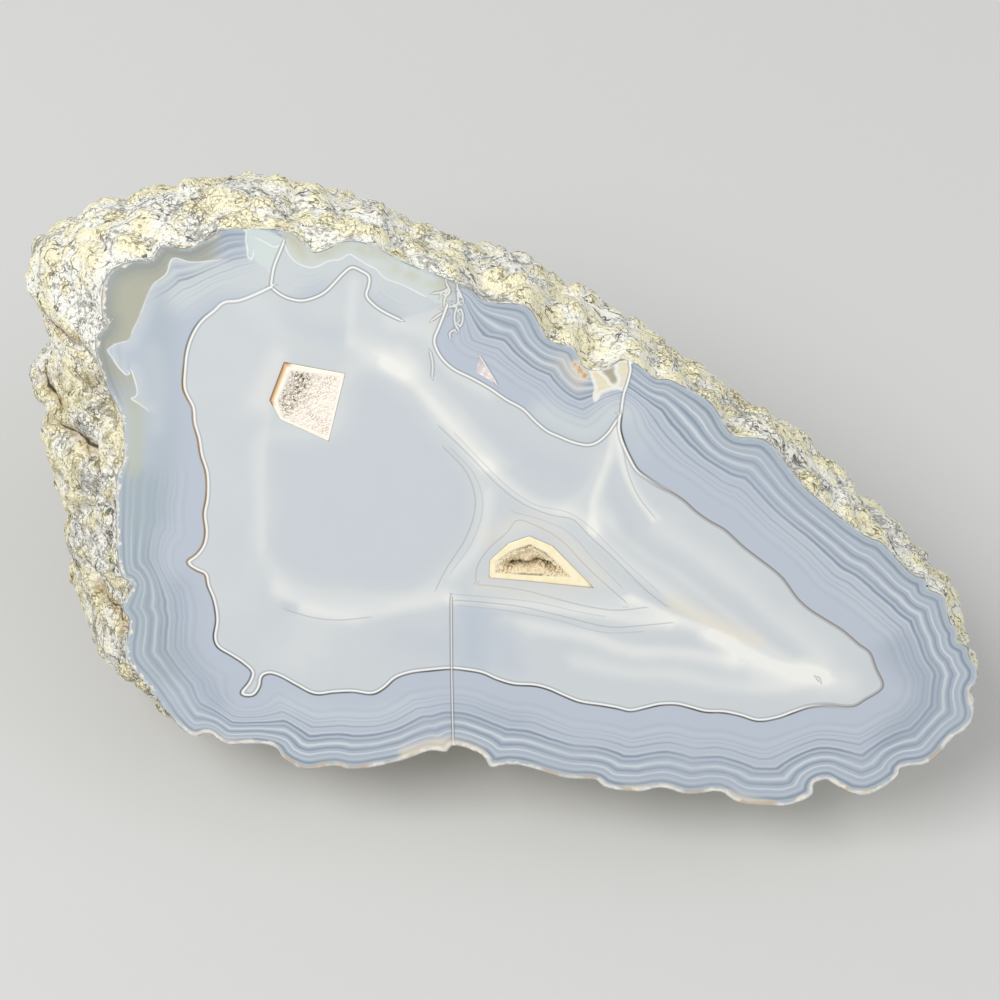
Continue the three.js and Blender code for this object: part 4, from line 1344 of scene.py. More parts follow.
@dataclass(frozen=True)
class RindFinish:
    """The rough outside: chalky white grains, dark dashes between them, cream patches and winding seams, with
    painted shade in the clefts and over the lower left side.
    """

    chalk: Colour = linear(253, 252, 243)
    cream: Colour = linear(252, 246, 212)
    ochre: Colour = linear(222, 180, 98)
    ash: Colour = linear(200, 204, 203)
    # Colour of the lower left side's streaks: partly the rind's own olive, partly painted shade.
    streak_and_shade: Colour = linear(148, 134, 98)
    cleft_side: Colour = linear(178, 148, 92)
    # Painted shade for the deepest line of each cleft.
    cleft_shade: Colour = linear(62, 50, 28)
    olive: Colour = linear(122, 106, 62)
    dash: Colour = linear(68, 68, 66)
    squeeze: float = 0.45
    grain_mm: float = 1.0
    seam_mm: float = 3.0
    speck_mm: float = 0.5

    def ground(self, p: Painter, place: Socket, bent: Socket) -> tuple[Socket, Socket]:
        """The colours between the marks: chalk with cream, ash and ochre patches, and dark olive streaks on
        the lower left side, partly the rind's own streaks and partly painted shade of that side.

        Args:
            p: the rind's painter.
            place: the place in millimetres.
            bent: the same place, squeezed along the face and bent.

        Returns:
            The sockets of the colour, and of how cream it is from 0 to 1.
        """
        warm = p.scaled(p.attribute("nodule"), 0.3, p.noise(bent, 7, 3, 0.6))
        warm = p.step(warm, 0.5, 0.74)
        colour = p.mix(warm, self.chalk, self.cream)
        ash = p.times(p.step(p.noise(bent, 4, 3, 0.6), 0.57, 0.68), p.math("SUBTRACT", 1.0, warm))
        colour = p.mix(p.times(ash, 0.3), colour, self.ash)
        rusty = p.times(p.step(p.noise(bent, 2.4, 4, 0.7), 0.64, 0.8), warm)
        colour = p.mix(p.times(rusty, 0.6), colour, self.ochre)
        # Painted shade: dark olive streaks over the lower left side of the rind, partly its own colour and
        # partly shade.
        streak = p.scaled(p.step(p.noise(bent, 1.6, 4, 0.7), 0.46, 0.64), 0.62, 0.04)
        ragged = p.scaled(p.noise(place, 11, 3), 1.2, p.attribute("weathered"))
        streak = p.times(streak, p.step(ragged, 0.75, 1.6))
        return p.mix(streak, colour, self.streak_and_shade), warm

    def marks(self, p: Painter, place: Socket, bent: Socket) -> tuple[Socket, Socket]:
        """The dark marks, and the grains that they part.

        Args:
            p: the rind's painter.
            place: the place in millimetres.
            bent: the same place, squeezed along the face and bent.

        Returns:
            The sockets of how dark the marks are, and of how far inside a grain a place is, both from 0 to 1.
        """
        crowd = p.scaled(p.noise(place, 7), 0.7, p.noise(place, 0.9))
        seams = p.math("ABSOLUTE", p.math("SUBTRACT", p.noise(bent, self.seam_mm, 3), 0.5))
        seams = p.times(p.step(seams, 0.02, 0.006), p.step(p.noise(place, 4, 3), 0.4, 0.55))
        round_nodules = p.times(p.step(p.attribute("nodule"), 0.1, 0.02), p.step(crowd, 0.78, 0.9))
        seams = p.math("MAXIMUM", seams, p.times(round_nodules, 0.55))
        edge = p.cells(p.warped(place, 0.8, 1.0), self.grain_mm)
        lace = p.times(p.step(edge, 0.11, 0.05), p.step(crowd, 0.78, 1.02))
        speckled = p.step(p.noise(place, 5), 0.42, 0.55)
        specks = p.times(p.step(p.noise(place, self.speck_mm, 1), 0.62, 0.68), speckled)
        marks = p.math("MAXIMUM", p.times(seams, 0.9), p.times(lace, 0.8))
        return p.math("MAXIMUM", marks, p.times(specks, 0.5)), p.step(edge, 0.0, 0.3)

    def material(self) -> bpy.types.Material:
        """Builds the rind's material.

        Returns:
            The finished material.
        """
        p = Painter("rough_rind")
        place = p.place_mm()
        bent = p.warped(p.along_rim(place, self.squeeze), 2.6, 2.4)
        colour, warm = self.ground(p, place, bent)
        marks, grains = self.marks(p, place, bent)
        colour = p.mix(marks, colour, p.mix(warm, self.dash, self.olive))
        cleft = p.attribute("cleft")
        colour = p.mix(p.times(p.step(cleft, 1.3, 2.1), 0.45), colour, self.cleft_side)
        # Painted shade: near black-brown along the deepest line of each cleft.
        ragged = p.scaled(p.noise(place, 2, 3), 0.16, cleft)
        colour = p.mix(p.times(p.step(ragged, 2.18, 2.27), 0.95), colour, self.cleft_shade)
        relief = p.scaled(grains, 0.6, p.noise(place, 0.9, 4, 0.6))
        p.bump(p.scaled(marks, -0.5, relief), 0.32, 0.8)
        return p.finish(colour, 0.85)


@dataclass(frozen=True)
class HollowFinish:
    """The bare walls of the small pit and behind the linings."""

    light: Colour = linear(248, 242, 240)
    dark: Colour = linear(230, 220, 220)

    def material(self) -> bpy.types.Material:
        """Builds the pit's material."""
        p = Painter("pit_wall")
        place = p.place_mm()
        p.bump(p.noise(place, 0.6, 4, 0.6), 0.3)
        return p.finish(p.mix(p.step(p.noise(place, 0.9, 3), 0.4, 0.62), self.dark, self.light), 0.6)


class CrystalTone(Enum):
    """The colours of a hollow's crystals: pale, deep, which also serves as painted shade low in the bowl, and
    the painted shade in the gaps.
    """

    # The third colour of each is painted shade for the gaps between the crystals.
    PINKISH = (linear(253, 246, 236), linear(245, 232, 217), linear(98, 86, 54))
    BROWNISH = (linear(247, 235, 206), linear(218, 198, 158), linear(70, 60, 42))


@dataclass(frozen=True)
class CrystalFinish:
    """Sugary quartz points, darker deeper in the bowl by painted shade, with painted shade in the gaps
    between them where the attribute gloom is high.
    """

    tone: CrystalTone

    def material(self, name: str) -> bpy.types.Material:
        """Builds the crystals' material.

        Args:
            name: the material's name.

        Returns:
            The finished material.
        """
        p = Painter(name)
        pale, deep, gap = self.tone.value
        place = p.place_mm()
        colour = p.mix(p.times(p.attribute("each"), p.noise(place, 2.5)), pale, deep)
        # Painted shade: the crystals turn to the deep tone towards the bottom of the bowl.
        colour = p.mix(p.times(p.step(p.attribute("deepness"), 0.35, 1.0), 0.8), colour, deep)
        # Painted shade: the gap colour in the rims of small cells and in specks, near the crevice between the
        # crystals.
        rims = p.step(p.cells(p.warped(place, 0.6, 0.5), 0.62), 0.16, 0.05)
        painted_gap_shade = p.math("MAXIMUM", p.times(rims, 0.55), p.step(p.noise(place, 0.5, 1), 0.57, 0.62))
        colour = p.mix(p.times(p.attribute("gloom"), painted_gap_shade), colour, gap)
        p.bump(p.noise(place, 0.3), 0.03, 0.5)
        return p.finish(colour, 0.5)


@dataclass(frozen=True)
class LiningFinish:
    """The cream band around a hollow's crystals, stained orange-brown on one side, with a dull outline."""

    band: Colour
    pale: Colour
    stain: Colour = linear(232, 190, 134)
    brown: Colour = linear(160, 110, 62)
    outline: Colour = linear(132, 124, 108)

    def material(self, name: str) -> bpy.types.Material:
        """Builds the band's material.

        Args:
            name: the material's name.

        Returns:
            The finished material.
        """
        p = Painter(name)
        place = p.place_mm()
        share = p.attribute("ring_share")
        stained = p.attribute("stain")
        colour = p.mix(p.step(p.noise(place, 1.5, 3), 0.35, 0.65), self.band, self.pale)
        colour = p.mix(p.times(p.step(share, 0.35, 0.75), stained), colour, self.stain)
        colour = p.mix(p.times(p.step(share, 0.68, 0.96), stained), colour, self.brown)
        colour = p.mix(p.times(p.step(share, 0.9, 0.99), 0.65), colour, self.outline)
        p.bump(p.noise(place, 0.8, 3), 0.05, 0.5)
        return p.finish(colour, 0.35)


# Meshes

MERGE_STEPS = 2000  # places told apart in a millimetre when the surfaces' common edges are merged


@dataclass
class MeshParts:
    """Points, triangles, material numbers and attributes gathered for one mesh."""

    points: list[np.ndarray] = field(default_factory=list)
    triangles: list[np.ndarray] = field(default_factory=list)
    finishes: list[np.ndarray] = field(default_factory=list)
    flats: list[np.ndarray] = field(default_factory=list)
    attributes: list[dict[str, np.ndarray]] = field(default_factory=list)

    def add(self, points: np.ndarray, triangles: np.ndarray, finish: int, flat: bool = False,
            attributes: dict[str, np.ndarray] | None = None) -> None:
        """Adds one surface.

        Args:
            points: rows of u, v, w in millimetres.
            triangles: rows of three point numbers within this surface.
            finish: the material's number.
            flat: whether its faces keep their own flat shading.
            attributes: numbers for each of its points.
        """
        offset = sum(len(part) for part in self.points)
        self.points.append(points)
        self.triangles.append(np.asarray(triangles, dtype=np.int64) + offset)
        self.finishes.append(np.full(len(triangles), finish))
        self.flats.append(np.full(len(triangles), flat))
        self.attributes.append(attributes or {})

    def values(self) -> dict[str, np.ndarray]:
        """Joins the surfaces' attributes, with 0 where a surface doesn't have one."""
        sizes = [len(rows) for rows in self.points]
        return {
            key: np.concatenate([part.get(key, np.zeros(size)) for part, size in zip(self.attributes, sizes)])
            for key in sorted({key for part in self.attributes for key in part})
        }

    def build(self, name: str, face: FaceFrame, finishes: Sequence[bpy.types.Material]) -> bpy.types.Object:
        """Makes the object, merges the surfaces' common edges and turns all faces outwards.

        Args:
            name: the object's name.
            face: the frame in which the points are given.
            finishes: the materials in the order of their numbers.

        Returns:
            The new object.
        """
        points = np.vstack(self.points)
        keys = np.round(points * MERGE_STEPS).astype(np.int64)
        _, first, merged = np.unique(keys, axis=0, return_index=True, return_inverse=True)
        triangles = merged.reshape(-1)[np.vstack(self.triangles)]
        whole = (triangles != np.roll(triangles, 1, axis=1)).all(axis=1)
        triangles = triangles[whole]
        placed = face.place(points[first])
        a, b, c = (placed[triangles[:, corner]] for corner in range(3))
        if np.einsum("ij,ij->i", a, np.cross(b, c)).sum() < 0:
            triangles = triangles[:, ::-1]
        mesh = bpy.data.meshes.new(name)
        mesh.vertices.add(len(placed))
        mesh.vertices.foreach_set("co", placed.astype(np.float32).ravel())
        mesh.loops.add(3 * len(triangles))
        mesh.loops.foreach_set("vertex_index", triangles.astype(np.int32).ravel())
        mesh.polygons.add(len(triangles))
        mesh.polygons.foreach_set("loop_start", np.arange(0, 3 * len(triangles), 3, dtype=np.int32))
        mesh.polygons.foreach_set("material_index", np.concatenate(self.finishes)[whole].astype(np.int32))
        mesh.polygons.foreach_set("use_smooth", ~np.concatenate(self.flats)[whole])
        for key, numbers in self.values().items():
            store = mesh.attributes.new(key, "FLOAT", "POINT")
            store.data.foreach_set("value", numbers[first].astype(np.float32))
        mesh.update(calc_edges=True)
        mesh.validate()
        piece = bpy.data.objects.new(name, mesh)
        bpy.context.scene.collection.objects.link(piece)
        for material in finishes:
            mesh.materials.append(material)
        return piece


def grid_triangles(rows: int, columns: int) -> np.ndarray:
    """Triangles of a grid of rows of points whose columns close on themselves.

    Args:
        rows: how many rows there are.
        columns: how many points each has.

    Returns:
        Rows of three point numbers.
    """
    row, column = np.meshgrid(np.arange(rows - 1), np.arange(columns), indexing="ij")
    a = row * columns + column
    b = row * columns + (column + 1) % columns
    c, d = a + columns, b + columns
    return np.concatenate([
        np.stack([a, b, d], axis=-1).reshape(-1, 3),
        np.stack([a, d, c], axis=-1).reshape(-1, 3),
    ])


def fan_triangles(first: int, columns: int, middle: int) -> np.ndarray:
    """Triangles from a closed row of points to one middle point."""
    column = np.arange(columns)
    return np.stack([first + column, first + (column + 1) % columns, np.full(columns, middle)], axis=-1)


def anticlockwise(places: np.ndarray, triangles: np.ndarray) -> np.ndarray:
    """Turns flat triangles round so that all of them run anticlockwise."""
    a, b, c = (places[triangles[:, corner]] for corner in range(3))
    turn = (b[:, 0] - a[:, 0]) * (c[:, 1] - a[:, 1]) - (b[:, 1] - a[:, 1]) * (c[:, 0] - a[:, 0])
    return np.where((turn < 0)[:, None], triangles[:, ::-1], triangles)


# The stone


@dataclass
class StoneBody:
    """The whole stone: the polished face, the knobby rind, the two hollows' walls and the small pit."""

    face: FaceFrame
    rind: RindForm
    columns: int = 640
    rows: int = 90
    row_spacing: float = 1.3
    face_step: float = 0.62
    face_gap: float = 0.5
    face_merge: float = 1e-6
    wall_step: float = 0.6
    floor_rows: int = 6
    floor_shares: Point = (0.85, 0.1)
    cleft_depth: Point = (0.5, 3)
    # Where the painted shade of the rind's lower left side begins and is full, in -u and in -v.
    shade_left: Point = (54, 74)
    shade_low: Point = (-28, -14)

    def rind_surface(self) -> tuple[np.ndarray, np.ndarray, dict[str, np.ndarray]]:
        """The rind on a grid of the way around and the depth, closed at the back by a fan.

        Depths follow sin(pi/2 x^s)^(2/r), so that the rows lie closer together near the rim.

        Returns:
            The points, the triangles and the attributes.
        """
        share = (np.arange(self.rows) / self.rows) ** self.row_spacing
        depth = np.sin(math.pi / 2 * share) ** (2 / ROUNDNESS)
        around = np.arange(self.columns) / self.columns
        depths, arounds = np.meshgrid(depth, around, indexing="ij")
        points, nodule = self.rind.knobby(arounds.ravel(), depths.ravel())
        points[: self.columns] = self.rind.rim(around)
        pole, pole_nodule = self.rind.knobby(np.zeros(1), np.ones(1))
        points = np.vstack([points, pole])
        triangles = np.vstack([
            grid_triangles(self.rows, self.columns),
            fan_triangles((self.rows - 1) * self.columns, self.columns, self.rows * self.columns),
        ])
        values = {
            "nodule": np.append(nodule, pole_nodule),
            "cleft": self.rind.clefts(points) * ramp(points[:, 2], *self.cleft_depth),
            # Where the rind's lower left side gets its streaks of painted shade.
            "weathered": ramp(-points[:, 0], *self.shade_left) * ramp(-points[:, 1], *self.shade_low),
        }
        return points, triangles, values

    def seated(self, points: np.ndarray) -> np.ndarray:
        """Presses every point that would lie under the floor straight up onto it."""
        sine, cosine = math.sin(self.face.tilt), math.cos(self.face.tilt)
        height = self.face.origin[2] + points[:, 1] * sine - points[:, 2] * cosine
        lift = np.maximum(0, -height)
        return points + np.column_stack([np.zeros(len(points)), lift * sine, -lift * cosine])

    def lattice(self, rim: np.ndarray, mouths: Sequence[np.ndarray]) -> np.ndarray:
        """Points of a triangular lattice on the face, clear of its rim and of the mouths.

        Args:
            rim: the rim's points.
            mouths: the points of each mouth.

        Returns:
            Rows of u, v.
        """
        low, high = rim.min(axis=0), rim.max(axis=0)
        rows = np.arange(low[1], high[1], self.face_step * math.sqrt(3) / 2)
        columns = np.arange(low[0], high[0], self.face_step)
        v, u = np.meshgrid(rows, columns, indexing="ij")
        u = u + (np.arange(len(rows)) % 2)[:, None] * self.face_step / 2
        points = np.column_stack([u.ravel(), v.ravel()])
        gap = self.face_gap * self.face_step
        keep = inside(points, rim) & (chain_nearness(points, [rim], True).distance > gap)
        for mouth in mouths:
            keep &= ~inside(points, mouth) & (chain_nearness(points, [mouth], True).distance > gap)
        return points[keep]

    def face_surface(self, rim: np.ndarray, mouths: Sequence[np.ndarray]) -> tuple[np.ndarray, np.ndarray]:
        """The flat face: a lattice of points joined up between the rim and the mouths.

        Args:
            rim: the rim's points.
            mouths: the points of each mouth.

        Returns:
            Rows of u, v and the triangles between them.
        """
        rings = [rim, *mouths]
        corners = np.vstack([*rings, self.lattice(rim, mouths)])
        numbers = np.split(np.arange(sum(map(len, rings))), np.cumsum([len(ring) for ring in rings])[:-1])
        edges = np.vstack([np.column_stack([number, np.roll(number, -1)]) for number in numbers])
        places, _, faces, *_ = delaunay_2d_cdt(corners.tolist(), edges.tolist(), [], 0, self.face_merge)
        places, faces = np.array(places), np.array(faces)
        places[: len(corners)] = corners
        middles = places[faces].mean(axis=1)
        keep = inside(middles, rim)
        for mouth in mouths:
            keep &= ~inside(middles, mouth)
        return places, anticlockwise(places, faces[keep])

    def pocket(self, hollow: Hollow, mouth: np.ndarray) -> tuple[np.ndarray, np.ndarray]:
        """A hollow's wall and floor: the mouth carried down while it narrows about its middle.

        Args:
            hollow: the hollow.
            mouth: the points of its mouth.

        Returns:
            The points and triangles.
        """
        middle = mouth.mean(axis=0)
        rows = max(2, round(hollow.depth / self.wall_step))
        levels = np.append(np.linspace(0, hollow.depth, rows), np.full(self.floor_rows, hollow.depth))
        floor = hollow.floor_scale * np.linspace(*self.floor_shares, self.floor_rows)
        scale = np.append(np.linspace(1, hollow.floor_scale, rows), floor)
        flat = middle + (mouth - middle)[None] * scale[:, None, None]
        deep = np.broadcast_to(levels[:, None, None], (*flat.shape[:2], 1))
        points = np.concatenate([flat, deep], axis=2).reshape(-1, 3)
        points = np.vstack([points, [*middle, hollow.depth]])
        count = len(mouth)
        triangles = np.vstack([
            grid_triangles(len(levels), count),
            fan_triangles((len(levels) - 1) * count, count, len(levels) * count),
        ])
        # The mouths run clockwise like the rim, but a hollow is seen from within.
        return points, triangles[:, ::-1]

    def build(self) -> bpy.types.Object:
        """Builds and dresses the stone.

        Returns:
            The stone's object.
        """
        parts = MeshParts()
        points, triangles, values = self.rind_surface()
        rim = points[: self.columns, :2].copy()
        parts.add(self.seated(points), triangles, 1, attributes=values)
        hollows = (UPPER_HOLLOW, LOWER_HOLLOW, PIT)
        mouths = [subdivided(hollow.mouth, self.wall_step) for hollow in hollows]
        flat, faces = self.face_surface(rim, mouths)
        log.info("face: %d points, %d triangles", len(flat), len(faces))
        markings = FaceMarkings(rim).attributes(flat)
        parts.add(np.column_stack([flat, np.zeros(len(flat))]), faces, 0, flat=True, attributes=markings)
        for hollow, mouth in zip(hollows, mouths):
            parts.add(*self.pocket(hollow, mouth), 2)
        finishes = [PolishedFinish().material(), RindFinish().material(), HollowFinish().material()]
        stone = parts.build("banded_stone", self.face, finishes)
        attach(stone, "root")
        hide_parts("agate")
        return stone


# The crystal linings


@dataclass(frozen=True)
class CrystalShape:
    """The proportions of a quartz point: a six-sided prism with a pyramid on it."""

    sides: int = 6
    radius: Point = (0.6, 0.8)
    growth: float = 0.5
    length: Point = (0.9, 0.9)
    root: float = 0.6
    shoulder: float = 0.6
    taper: float = 0.92
    lean: float = 0.5
    steepest: float = 1.2
    skin: float = 0.02

    def corners(self, foot: np.ndarray, axis: np.ndarray, radius: np.ndarray, length: np.ndarray,
                spin: np.ndarray) -> np.ndarray:
        """The corners of many crystals.

        Args:
            foot: where each stands, as u, v, w.
            axis: the arrow of length 1 along each.
            radius: its radius in millimetres.
            length: its length.
            spin: its turn about its axis.

        Returns:
            For each the corners of the foot and of the shoulder, the tip and the middle of the foot.
        """
        side = np.cross(axis, np.array([0.3, 0.9, 0.1]))  # any arrow that no axis lies along
        side /= np.linalg.norm(side, axis=1)[:, None]
        third = np.cross(axis, side)
        turn = spin[:, None] + np.arange(self.sides)[None] * 2 * math.pi / self.sides
        around = np.cos(turn)[..., None] * side[:, None] + np.sin(turn)[..., None] * third[:, None]
        around = around * radius[:, None, None]
        buried = self.root * radius
        root = foot[:, None] - axis[:, None] * buried[:, None, None]
        shoulder = root + axis[:, None] * (self.shoulder * length + buried)[:, None, None]
        tip = root + axis[:, None] * (length + buried)[:, None, None]
        corners = np.concatenate([root + around, shoulder + self.taper * around, tip, root], axis=1)
        corners[..., 2] = np.maximum(corners[..., 2], self.skin)
        return corners

    def triangles(self, count: int) -> np.ndarray:
        """The triangles between those corners.

        Args:
            count: how many crystals there are.

        Returns:
            Rows of three point numbers.
        """
        tip, foot = 2 * self.sides, 2 * self.sides + 1
        k = np.arange(self.sides)
        n = (k + 1) % self.sides
        template = np.vstack([
            np.stack([k, n, n + self.sides], axis=-1),
            np.stack([k, n + self.sides, k + self.sides], axis=-1),
            np.stack([k + self.sides, n + self.sides, np.full(self.sides, tip)], axis=-1),
            np.stack([n, k, np.full(self.sides, foot)], axis=-1),
        ])
        return (template[None, :, ::-1] + (np.arange(count) * (foot + 1))[:, None, None]).reshape(-1, 3)


@dataclass
class CrystalLining:
    """A hollow's lining: a cream band at the mouth and a bowl full of small quartz points."""

    node: str
    hollow: Hollow
    hole: Sequence[Point]
    bowl_depth: float
    bowl_floor: float
    crystals: int
    crystal_radius: float
    tone: CrystalTone
    band: LiningFinish
    gap: Sequence[Point]
    gap_width: float
    gap_depth: float
    stained: Sequence[Sequence[Point]]
    channel: int
    stain_reach: Point = (0.9, 2.0)
    seat: float = 0.06
    columns: int = 120
    outer_scales: Point = (0.05, 0.95)
    band_shares: Place = (0.75, 0.5, 0.25)
    bowl_shares: Point = (1.0, 0.04)
    bowl_rows: int = 26
    gap_end: Point = (0.8, 1.0)
    spread: float = 0.985
    slope_step: float = 0.02
    shape: CrystalShape = CrystalShape()

    def turns(self, middle: np.ndarray) -> np.ndarray:
        """Even angles about a middle, each moved to the angle of a corner that it lies nearest to."""
        turn = np.linspace(-math.pi, math.pi, self.columns, endpoint=False)
        for corner in as_points([*self.hole, *self.hollow.mouth]) - middle:
            angle = math.atan2(corner[1], corner[0])
            turn[np.argmin(np.abs(turn - angle))] = angle
        return turn

    def ring(self, outline: Sequence[Point], middle: np.ndarray) -> np.ndarray:
        """An outline's points at the lining's angles about a middle.

        Args:
            outline: the outline's corners.
            middle: the middle, as u, v.

        Returns:
            Rows of u, v.
        """
        dense = subdivided(outline, 0.1) - middle
        angle = np.arctan2(dense[:, 1], dense[:, 0])
        order = np.argsort(angle)
        turn = self.turns(middle)
        reach = np.interp(turn, angle[order], np.linalg.norm(dense, axis=1)[order], period=2 * math.pi)
        return middle + np.column_stack([reach * np.cos(turn), reach * np.sin(turn)])

    def bowl(self, share: np.ndarray) -> np.ndarray:
        """The bowl's depth at a share of the way out: flat in the middle, steep at the edge."""
        return self.bowl_depth * (1 - ramp(share, self.bowl_floor, 1.0))

    def gloom(self, points: np.ndarray) -> np.ndarray:
        """How near the gap between the crystals is: a bell curve of the distance from its line."""
        away = chain_nearness(points, [as_points(self.gap)]).distance
        return np.exp(-((away / self.gap_width) ** 2))

    def depth(self, points: np.ndarray, share: np.ndarray) -> np.ndarray:
        """The bowl's depth at places in the face, deeper in the gap."""
        return self.bowl(share) + self.gap_depth * self.gloom(points) * (1 - ramp(share, *self.gap_end))

    def body(self, parts: MeshParts) -> None:
        """Adds the band, the outer wall and the bowl: outlines stacked from the floor over the band.

        Args:
            parts: what is gathered for the mesh.
        """
        middle = as_points(self.hole).mean(axis=0)
        mouth, hole = self.ring(self.hollow.mouth, middle), self.ring(self.hole, middle)
        away = mouth - middle
        mouth = middle + away * (1 - self.seat / np.linalg.norm(away, axis=1))[:, None]
        floor = self.hollow.depth - self.seat
        outer = np.array([*(self.hollow.floor_scale * np.array(self.outer_scales)), 1.0, 1.0])
        between = np.array(self.band_shares)
        inner = np.linspace(*self.bowl_shares, self.bowl_rows)
        bowl = middle + (hole - middle) * inner[:, None, None]
        outlines = np.concatenate([
            middle + (mouth - middle) * outer[:, None, None],
            hole + (mouth - hole) * between[:, None, None],
            bowl,
        ]).reshape(-1, 2)
        depths = np.concatenate([
            np.repeat([floor, floor, self.seat, 0.0, *np.zeros(len(between))], self.columns),
            self.depth(bowl.reshape(-1, 2), np.repeat(inner, self.columns)),
        ])
        centre = self.depth(middle[None], np.zeros(1))[0]
        stacked = np.vstack([np.column_stack([outlines, depths]), [*middle, floor], [*middle, centre]])
        bowl_start = len(outer) + len(between)
        levels = bowl_start + len(inner)
        triangles = grid_triangles(levels, self.columns)
        is_bowl = np.tile(np.repeat(np.arange(levels - 1), self.columns) >= bowl_start, 2)
        last = levels * self.columns
        floor_cap = fan_triangles(0, self.columns, last)[:, ::-1]
        bowl_cap = fan_triangles(last - self.columns, self.columns, last + 1)
        ring_share = np.repeat([*np.ones(len(outer)), *between, *np.zeros(len(inner))], self.columns)
        deepness = np.repeat([*np.zeros(bowl_start), *(self.bowl(inner) / self.bowl_depth)], self.columns)
        stain = chain_nearness(stacked[:, :2], [as_points(side) for side in self.stained]).distance
        attributes = {
            "ring_share": np.append(ring_share, [0, 0]),
            "deepness": np.append(deepness, [0, 1]),
            "each": np.full(len(stacked), 0.6),
            "gloom": self.gloom(stacked[:, :2]),
            "stain": 1 - ramp(stain, *self.stain_reach),
        }
        parts.add(stacked, np.vstack([triangles[~is_bowl], floor_cap]), 0, attributes=attributes)
        parts.add(stacked, np.vstack([triangles[is_bowl], bowl_cap]), 1, attributes=attributes)

    def points(self, parts: MeshParts) -> None:
        """Adds the crystals, rooted in the bowl and leaning inwards and at random.

        They are spread by the golden angle, at a distance from the middle that grows as the square root of
        their number, and the outline of the hole scales that distance at each angle.

        Args:
            parts: what is gathered for the mesh.
        """
        middle = as_points(self.hole).mean(axis=0)
        hole = self.ring(self.hole, middle) - middle
        number = np.arange(self.crystals, dtype=float)
        turn = (number * 2 * math.pi * GOLDEN + math.pi) % (2 * math.pi) - math.pi
        share = np.sqrt((number + 0.5) / self.crystals) * self.spread
        reach = np.interp(turn, self.turns(middle), np.linalg.norm(hole, axis=1), period=2 * math.pi)
        places = middle + (share * reach)[:, None] * np.column_stack([np.cos(turn), np.sin(turn)])
        gloom = self.gloom(places)
        smallest, variety = self.shape.radius
        radius = self.crystal_radius * (smallest + variety * scatter(number, self.channel))
        radius = radius * (1 + self.shape.growth * gloom)
        shortest, variety = self.shape.length
        length = radius * (shortest + variety * scatter(number, self.channel + 1))
        foot = np.column_stack([places, self.depth(places, share)])
        axis = self.axes(number, turn, share, reach)
        spin = 2 * math.pi * scatter(number, self.channel + 4)
        crystal = self.shape.corners(foot, axis, radius, length, spin)
        per = crystal.shape[1]
        attributes = {
            "each": np.repeat(scatter(number, self.channel + 5), per),
            "deepness": np.clip(crystal[..., 2].ravel() / self.bowl_depth, 0, 1) * 0.7,
            "gloom": np.repeat(gloom, per),
        }
        triangles = self.shape.triangles(self.crystals)
        parts.add(crystal.reshape(-1, 3), triangles, 1, flat=True, attributes=attributes)

    def axes(self, number: np.ndarray, turn: np.ndarray, share: np.ndarray, reach: np.ndarray) -> np.ndarray:
        """The crystals' axes: out of the bowl, turned inwards by its slope and then at random.

        Args:
            number: each crystal's number.
            turn: its angle about the middle.
            share: its share of the way out.
            reach: how far the bowl reaches at its angle.

        Returns:
            One arrow of length 1 for each.
        """
        step = self.slope_step
        rise = self.bowl(np.minimum(share + step, 1)) - self.bowl(share - step)
        inward = np.clip(-rise / (2 * step * reach), 0, self.shape.steepest)
        lean = self.shape.lean * (scatter(number, self.channel + 2) - 0.5)
        sway = self.shape.lean * (scatter(number, self.channel + 3) - 0.5)
        across = -inward * np.cos(turn) + lean
        axis = np.column_stack([across, -inward * np.sin(turn) + sway, -np.ones(len(number))])
        return axis / np.linalg.norm(axis, axis=1)[:, None]

    def build(self, face: FaceFrame) -> bpy.types.Object:
        """Builds and dresses the lining.

        Args:
            face: the frame of the polished face.

        Returns:
            The lining's object.
        """
        parts = MeshParts()
        self.body(parts)
        self.points(parts)
        band = self.band.material(self.node + "_band")
        crystals = CrystalFinish(self.tone).material(self.node + "_points")
        lining = parts.build(self.node + "_lining", face, [band, crystals])
        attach(lining, "root")
        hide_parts(self.node)
        return lining


# The studio


@dataclass(frozen=True)
class Lamp:
    """A square soft light: its name, place in metres, size in metres, power in watts and tint."""

    name: str
    place: Place
    size: float
    power: float
    tint: Place


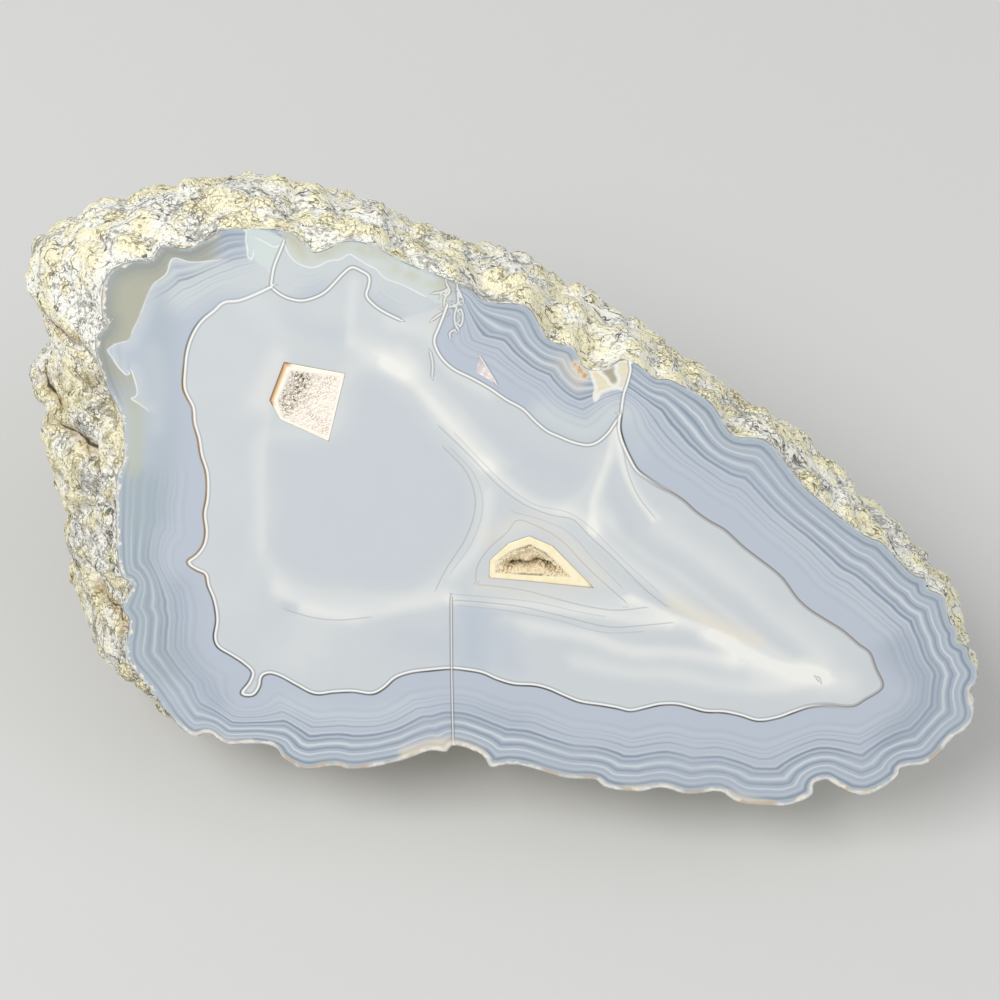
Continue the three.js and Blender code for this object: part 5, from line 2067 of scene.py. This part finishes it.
@dataclass
class Studio:
    """A plain pale floor, soft light and the camera at the photograph's viewing angle."""

    azimuth: float = math.radians(4.0)
    elevation: float = math.radians(62.0)
    distance: float = 0.420
    lens: float = 80.0
    sensor: float = 36.0
    aim: Place = FACE_ORIGIN
    lamps: tuple[Lamp, ...] = (
        Lamp("key", (-0.5, -0.2, 0.95), 0.6, 6.8, (1.0, 0.99, 0.97)),
        Lamp("fill", (0.75, 0.1, 0.75), 0.9, 2.5, (0.98, 0.99, 1.0)),
    )
    lamp_aim: Place = (0, 0, 0.04)
    sky: Colour = (0.98, 0.99, 1.0, 1)
    sky_strength: float = 0.53
    floor_half: float = 3.0
    floor_colour: Colour = linear(206, 206, 205)

    def camera(self) -> None:
        """Adds the camera, aimed at the middle of the polished face."""
        a, e = self.azimuth, self.elevation
        back = Vector((math.sin(a) * math.cos(e), -math.cos(a) * math.cos(e), math.sin(e)))
        right = Vector((math.cos(a), math.sin(a), 0))
        up = back.cross(right)
        data = bpy.data.cameras.new("camera")
        data.lens, data.sensor_width = self.lens, self.sensor
        data.clip_start, data.clip_end = 0.01, 20
        camera = bpy.data.objects.new("camera", data)
        turn = Matrix((right, up, back)).transposed().to_4x4()
        camera.matrix_world = Matrix.Translation(Vector(self.aim) * MM + back * self.distance) @ turn
        bpy.context.scene.collection.objects.link(camera)
        bpy.context.scene.camera = camera

    def light(self, lamp: Lamp) -> None:
        """Adds one soft light aimed at the stone."""
        data = bpy.data.lights.new(lamp.name, "AREA")
        data.size, data.energy, data.color = lamp.size, lamp.power, lamp.tint
        light = bpy.data.objects.new(lamp.name, data)
        light.location = lamp.place
        light.rotation_mode = "QUATERNION"
        light.rotation_quaternion = (Vector(self.lamp_aim) - Vector(lamp.place)).to_track_quat("-Z", "Y")
        bpy.context.scene.collection.objects.link(light)

    def surroundings(self) -> None:
        """Adds the pale surroundings."""
        world = bpy.data.worlds.new("surroundings")
        world.use_nodes = True
        backdrop = world.node_tree.nodes["Background"]
        backdrop.inputs["Color"].default_value = self.sky
        backdrop.inputs["Strength"].default_value = self.sky_strength
        bpy.context.scene.world = world

    def floor(self) -> None:
        """Adds the floor."""
        half = self.floor_half
        corners = [(-half, -half, 0), (half, -half, 0), (half, half, 0), (-half, half, 0)]
        mesh = bpy.data.meshes.new("floor")
        mesh.from_pydata(corners, [], [(0, 1, 2, 3)])
        floor = bpy.data.objects.new("floor", mesh)
        bpy.context.scene.collection.objects.link(floor)
        mesh.materials.append(Painter("floor").finish(self.floor_colour, 0.8))

    def build(self) -> None:
        """Sets up the whole studio."""
        self.camera()
        for lamp in self.lamps:
            self.light(lamp)
        self.surroundings()
        self.floor()
        bpy.context.scene.view_settings.view_transform = "Standard"


def save_sizes() -> None:
    """Brings the view layer up to date."""
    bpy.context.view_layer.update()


def main() -> None:
    """Builds the studio, the stone and its two linings."""
    logging.basicConfig(level=logging.INFO, format="%(name)s: %(message)s")
    Studio().build()
    face = FaceFrame()
    pieces = [
        StoneBody(face, RindForm()).build(),
        CrystalLining(
            node="upper_druse", hollow=UPPER_HOLLOW, hole=UPPER_HOLE,
            bowl_depth=0.45, bowl_floor=0.9, crystals=1600, crystal_radius=0.25, tone=CrystalTone.PINKISH,
            band=LiningFinish(band=linear(252, 244, 226), pale=linear(254, 251, 243)),
            gap=[(-38.4, 21.4), (-38.6, 19.6), (-41.0, 16.0)], gap_width=2.3, gap_depth=0.5,
            stained=[[(-41.8, 23.6), (-44.0, 17.2)]], channel=70,
        ).build(face),
        CrystalLining(
            node="lower_druse", hollow=LOWER_HOLLOW, hole=LOWER_HOLE,
            bowl_depth=1.5, bowl_floor=0.6, crystals=900, crystal_radius=0.33, tone=CrystalTone.BROWNISH,
            band=LiningFinish(band=linear(250, 236, 192), pale=linear(252, 243, 210)),
            gap=[(2.6, -12.9), (4.5, -12.7), (6.0, -13.1), (7.5, -12.0), (9.4, -12.4), (10.8, -12.8)],
            gap_width=0.7, gap_depth=3.0, stained=[], channel=90,
        ).build(face),
    ]
    for piece in pieces:
        log.info("%s: %d triangles", piece.name, len(piece.data.polygons))
    save_sizes()


if __name__ == "__main__":
    main()
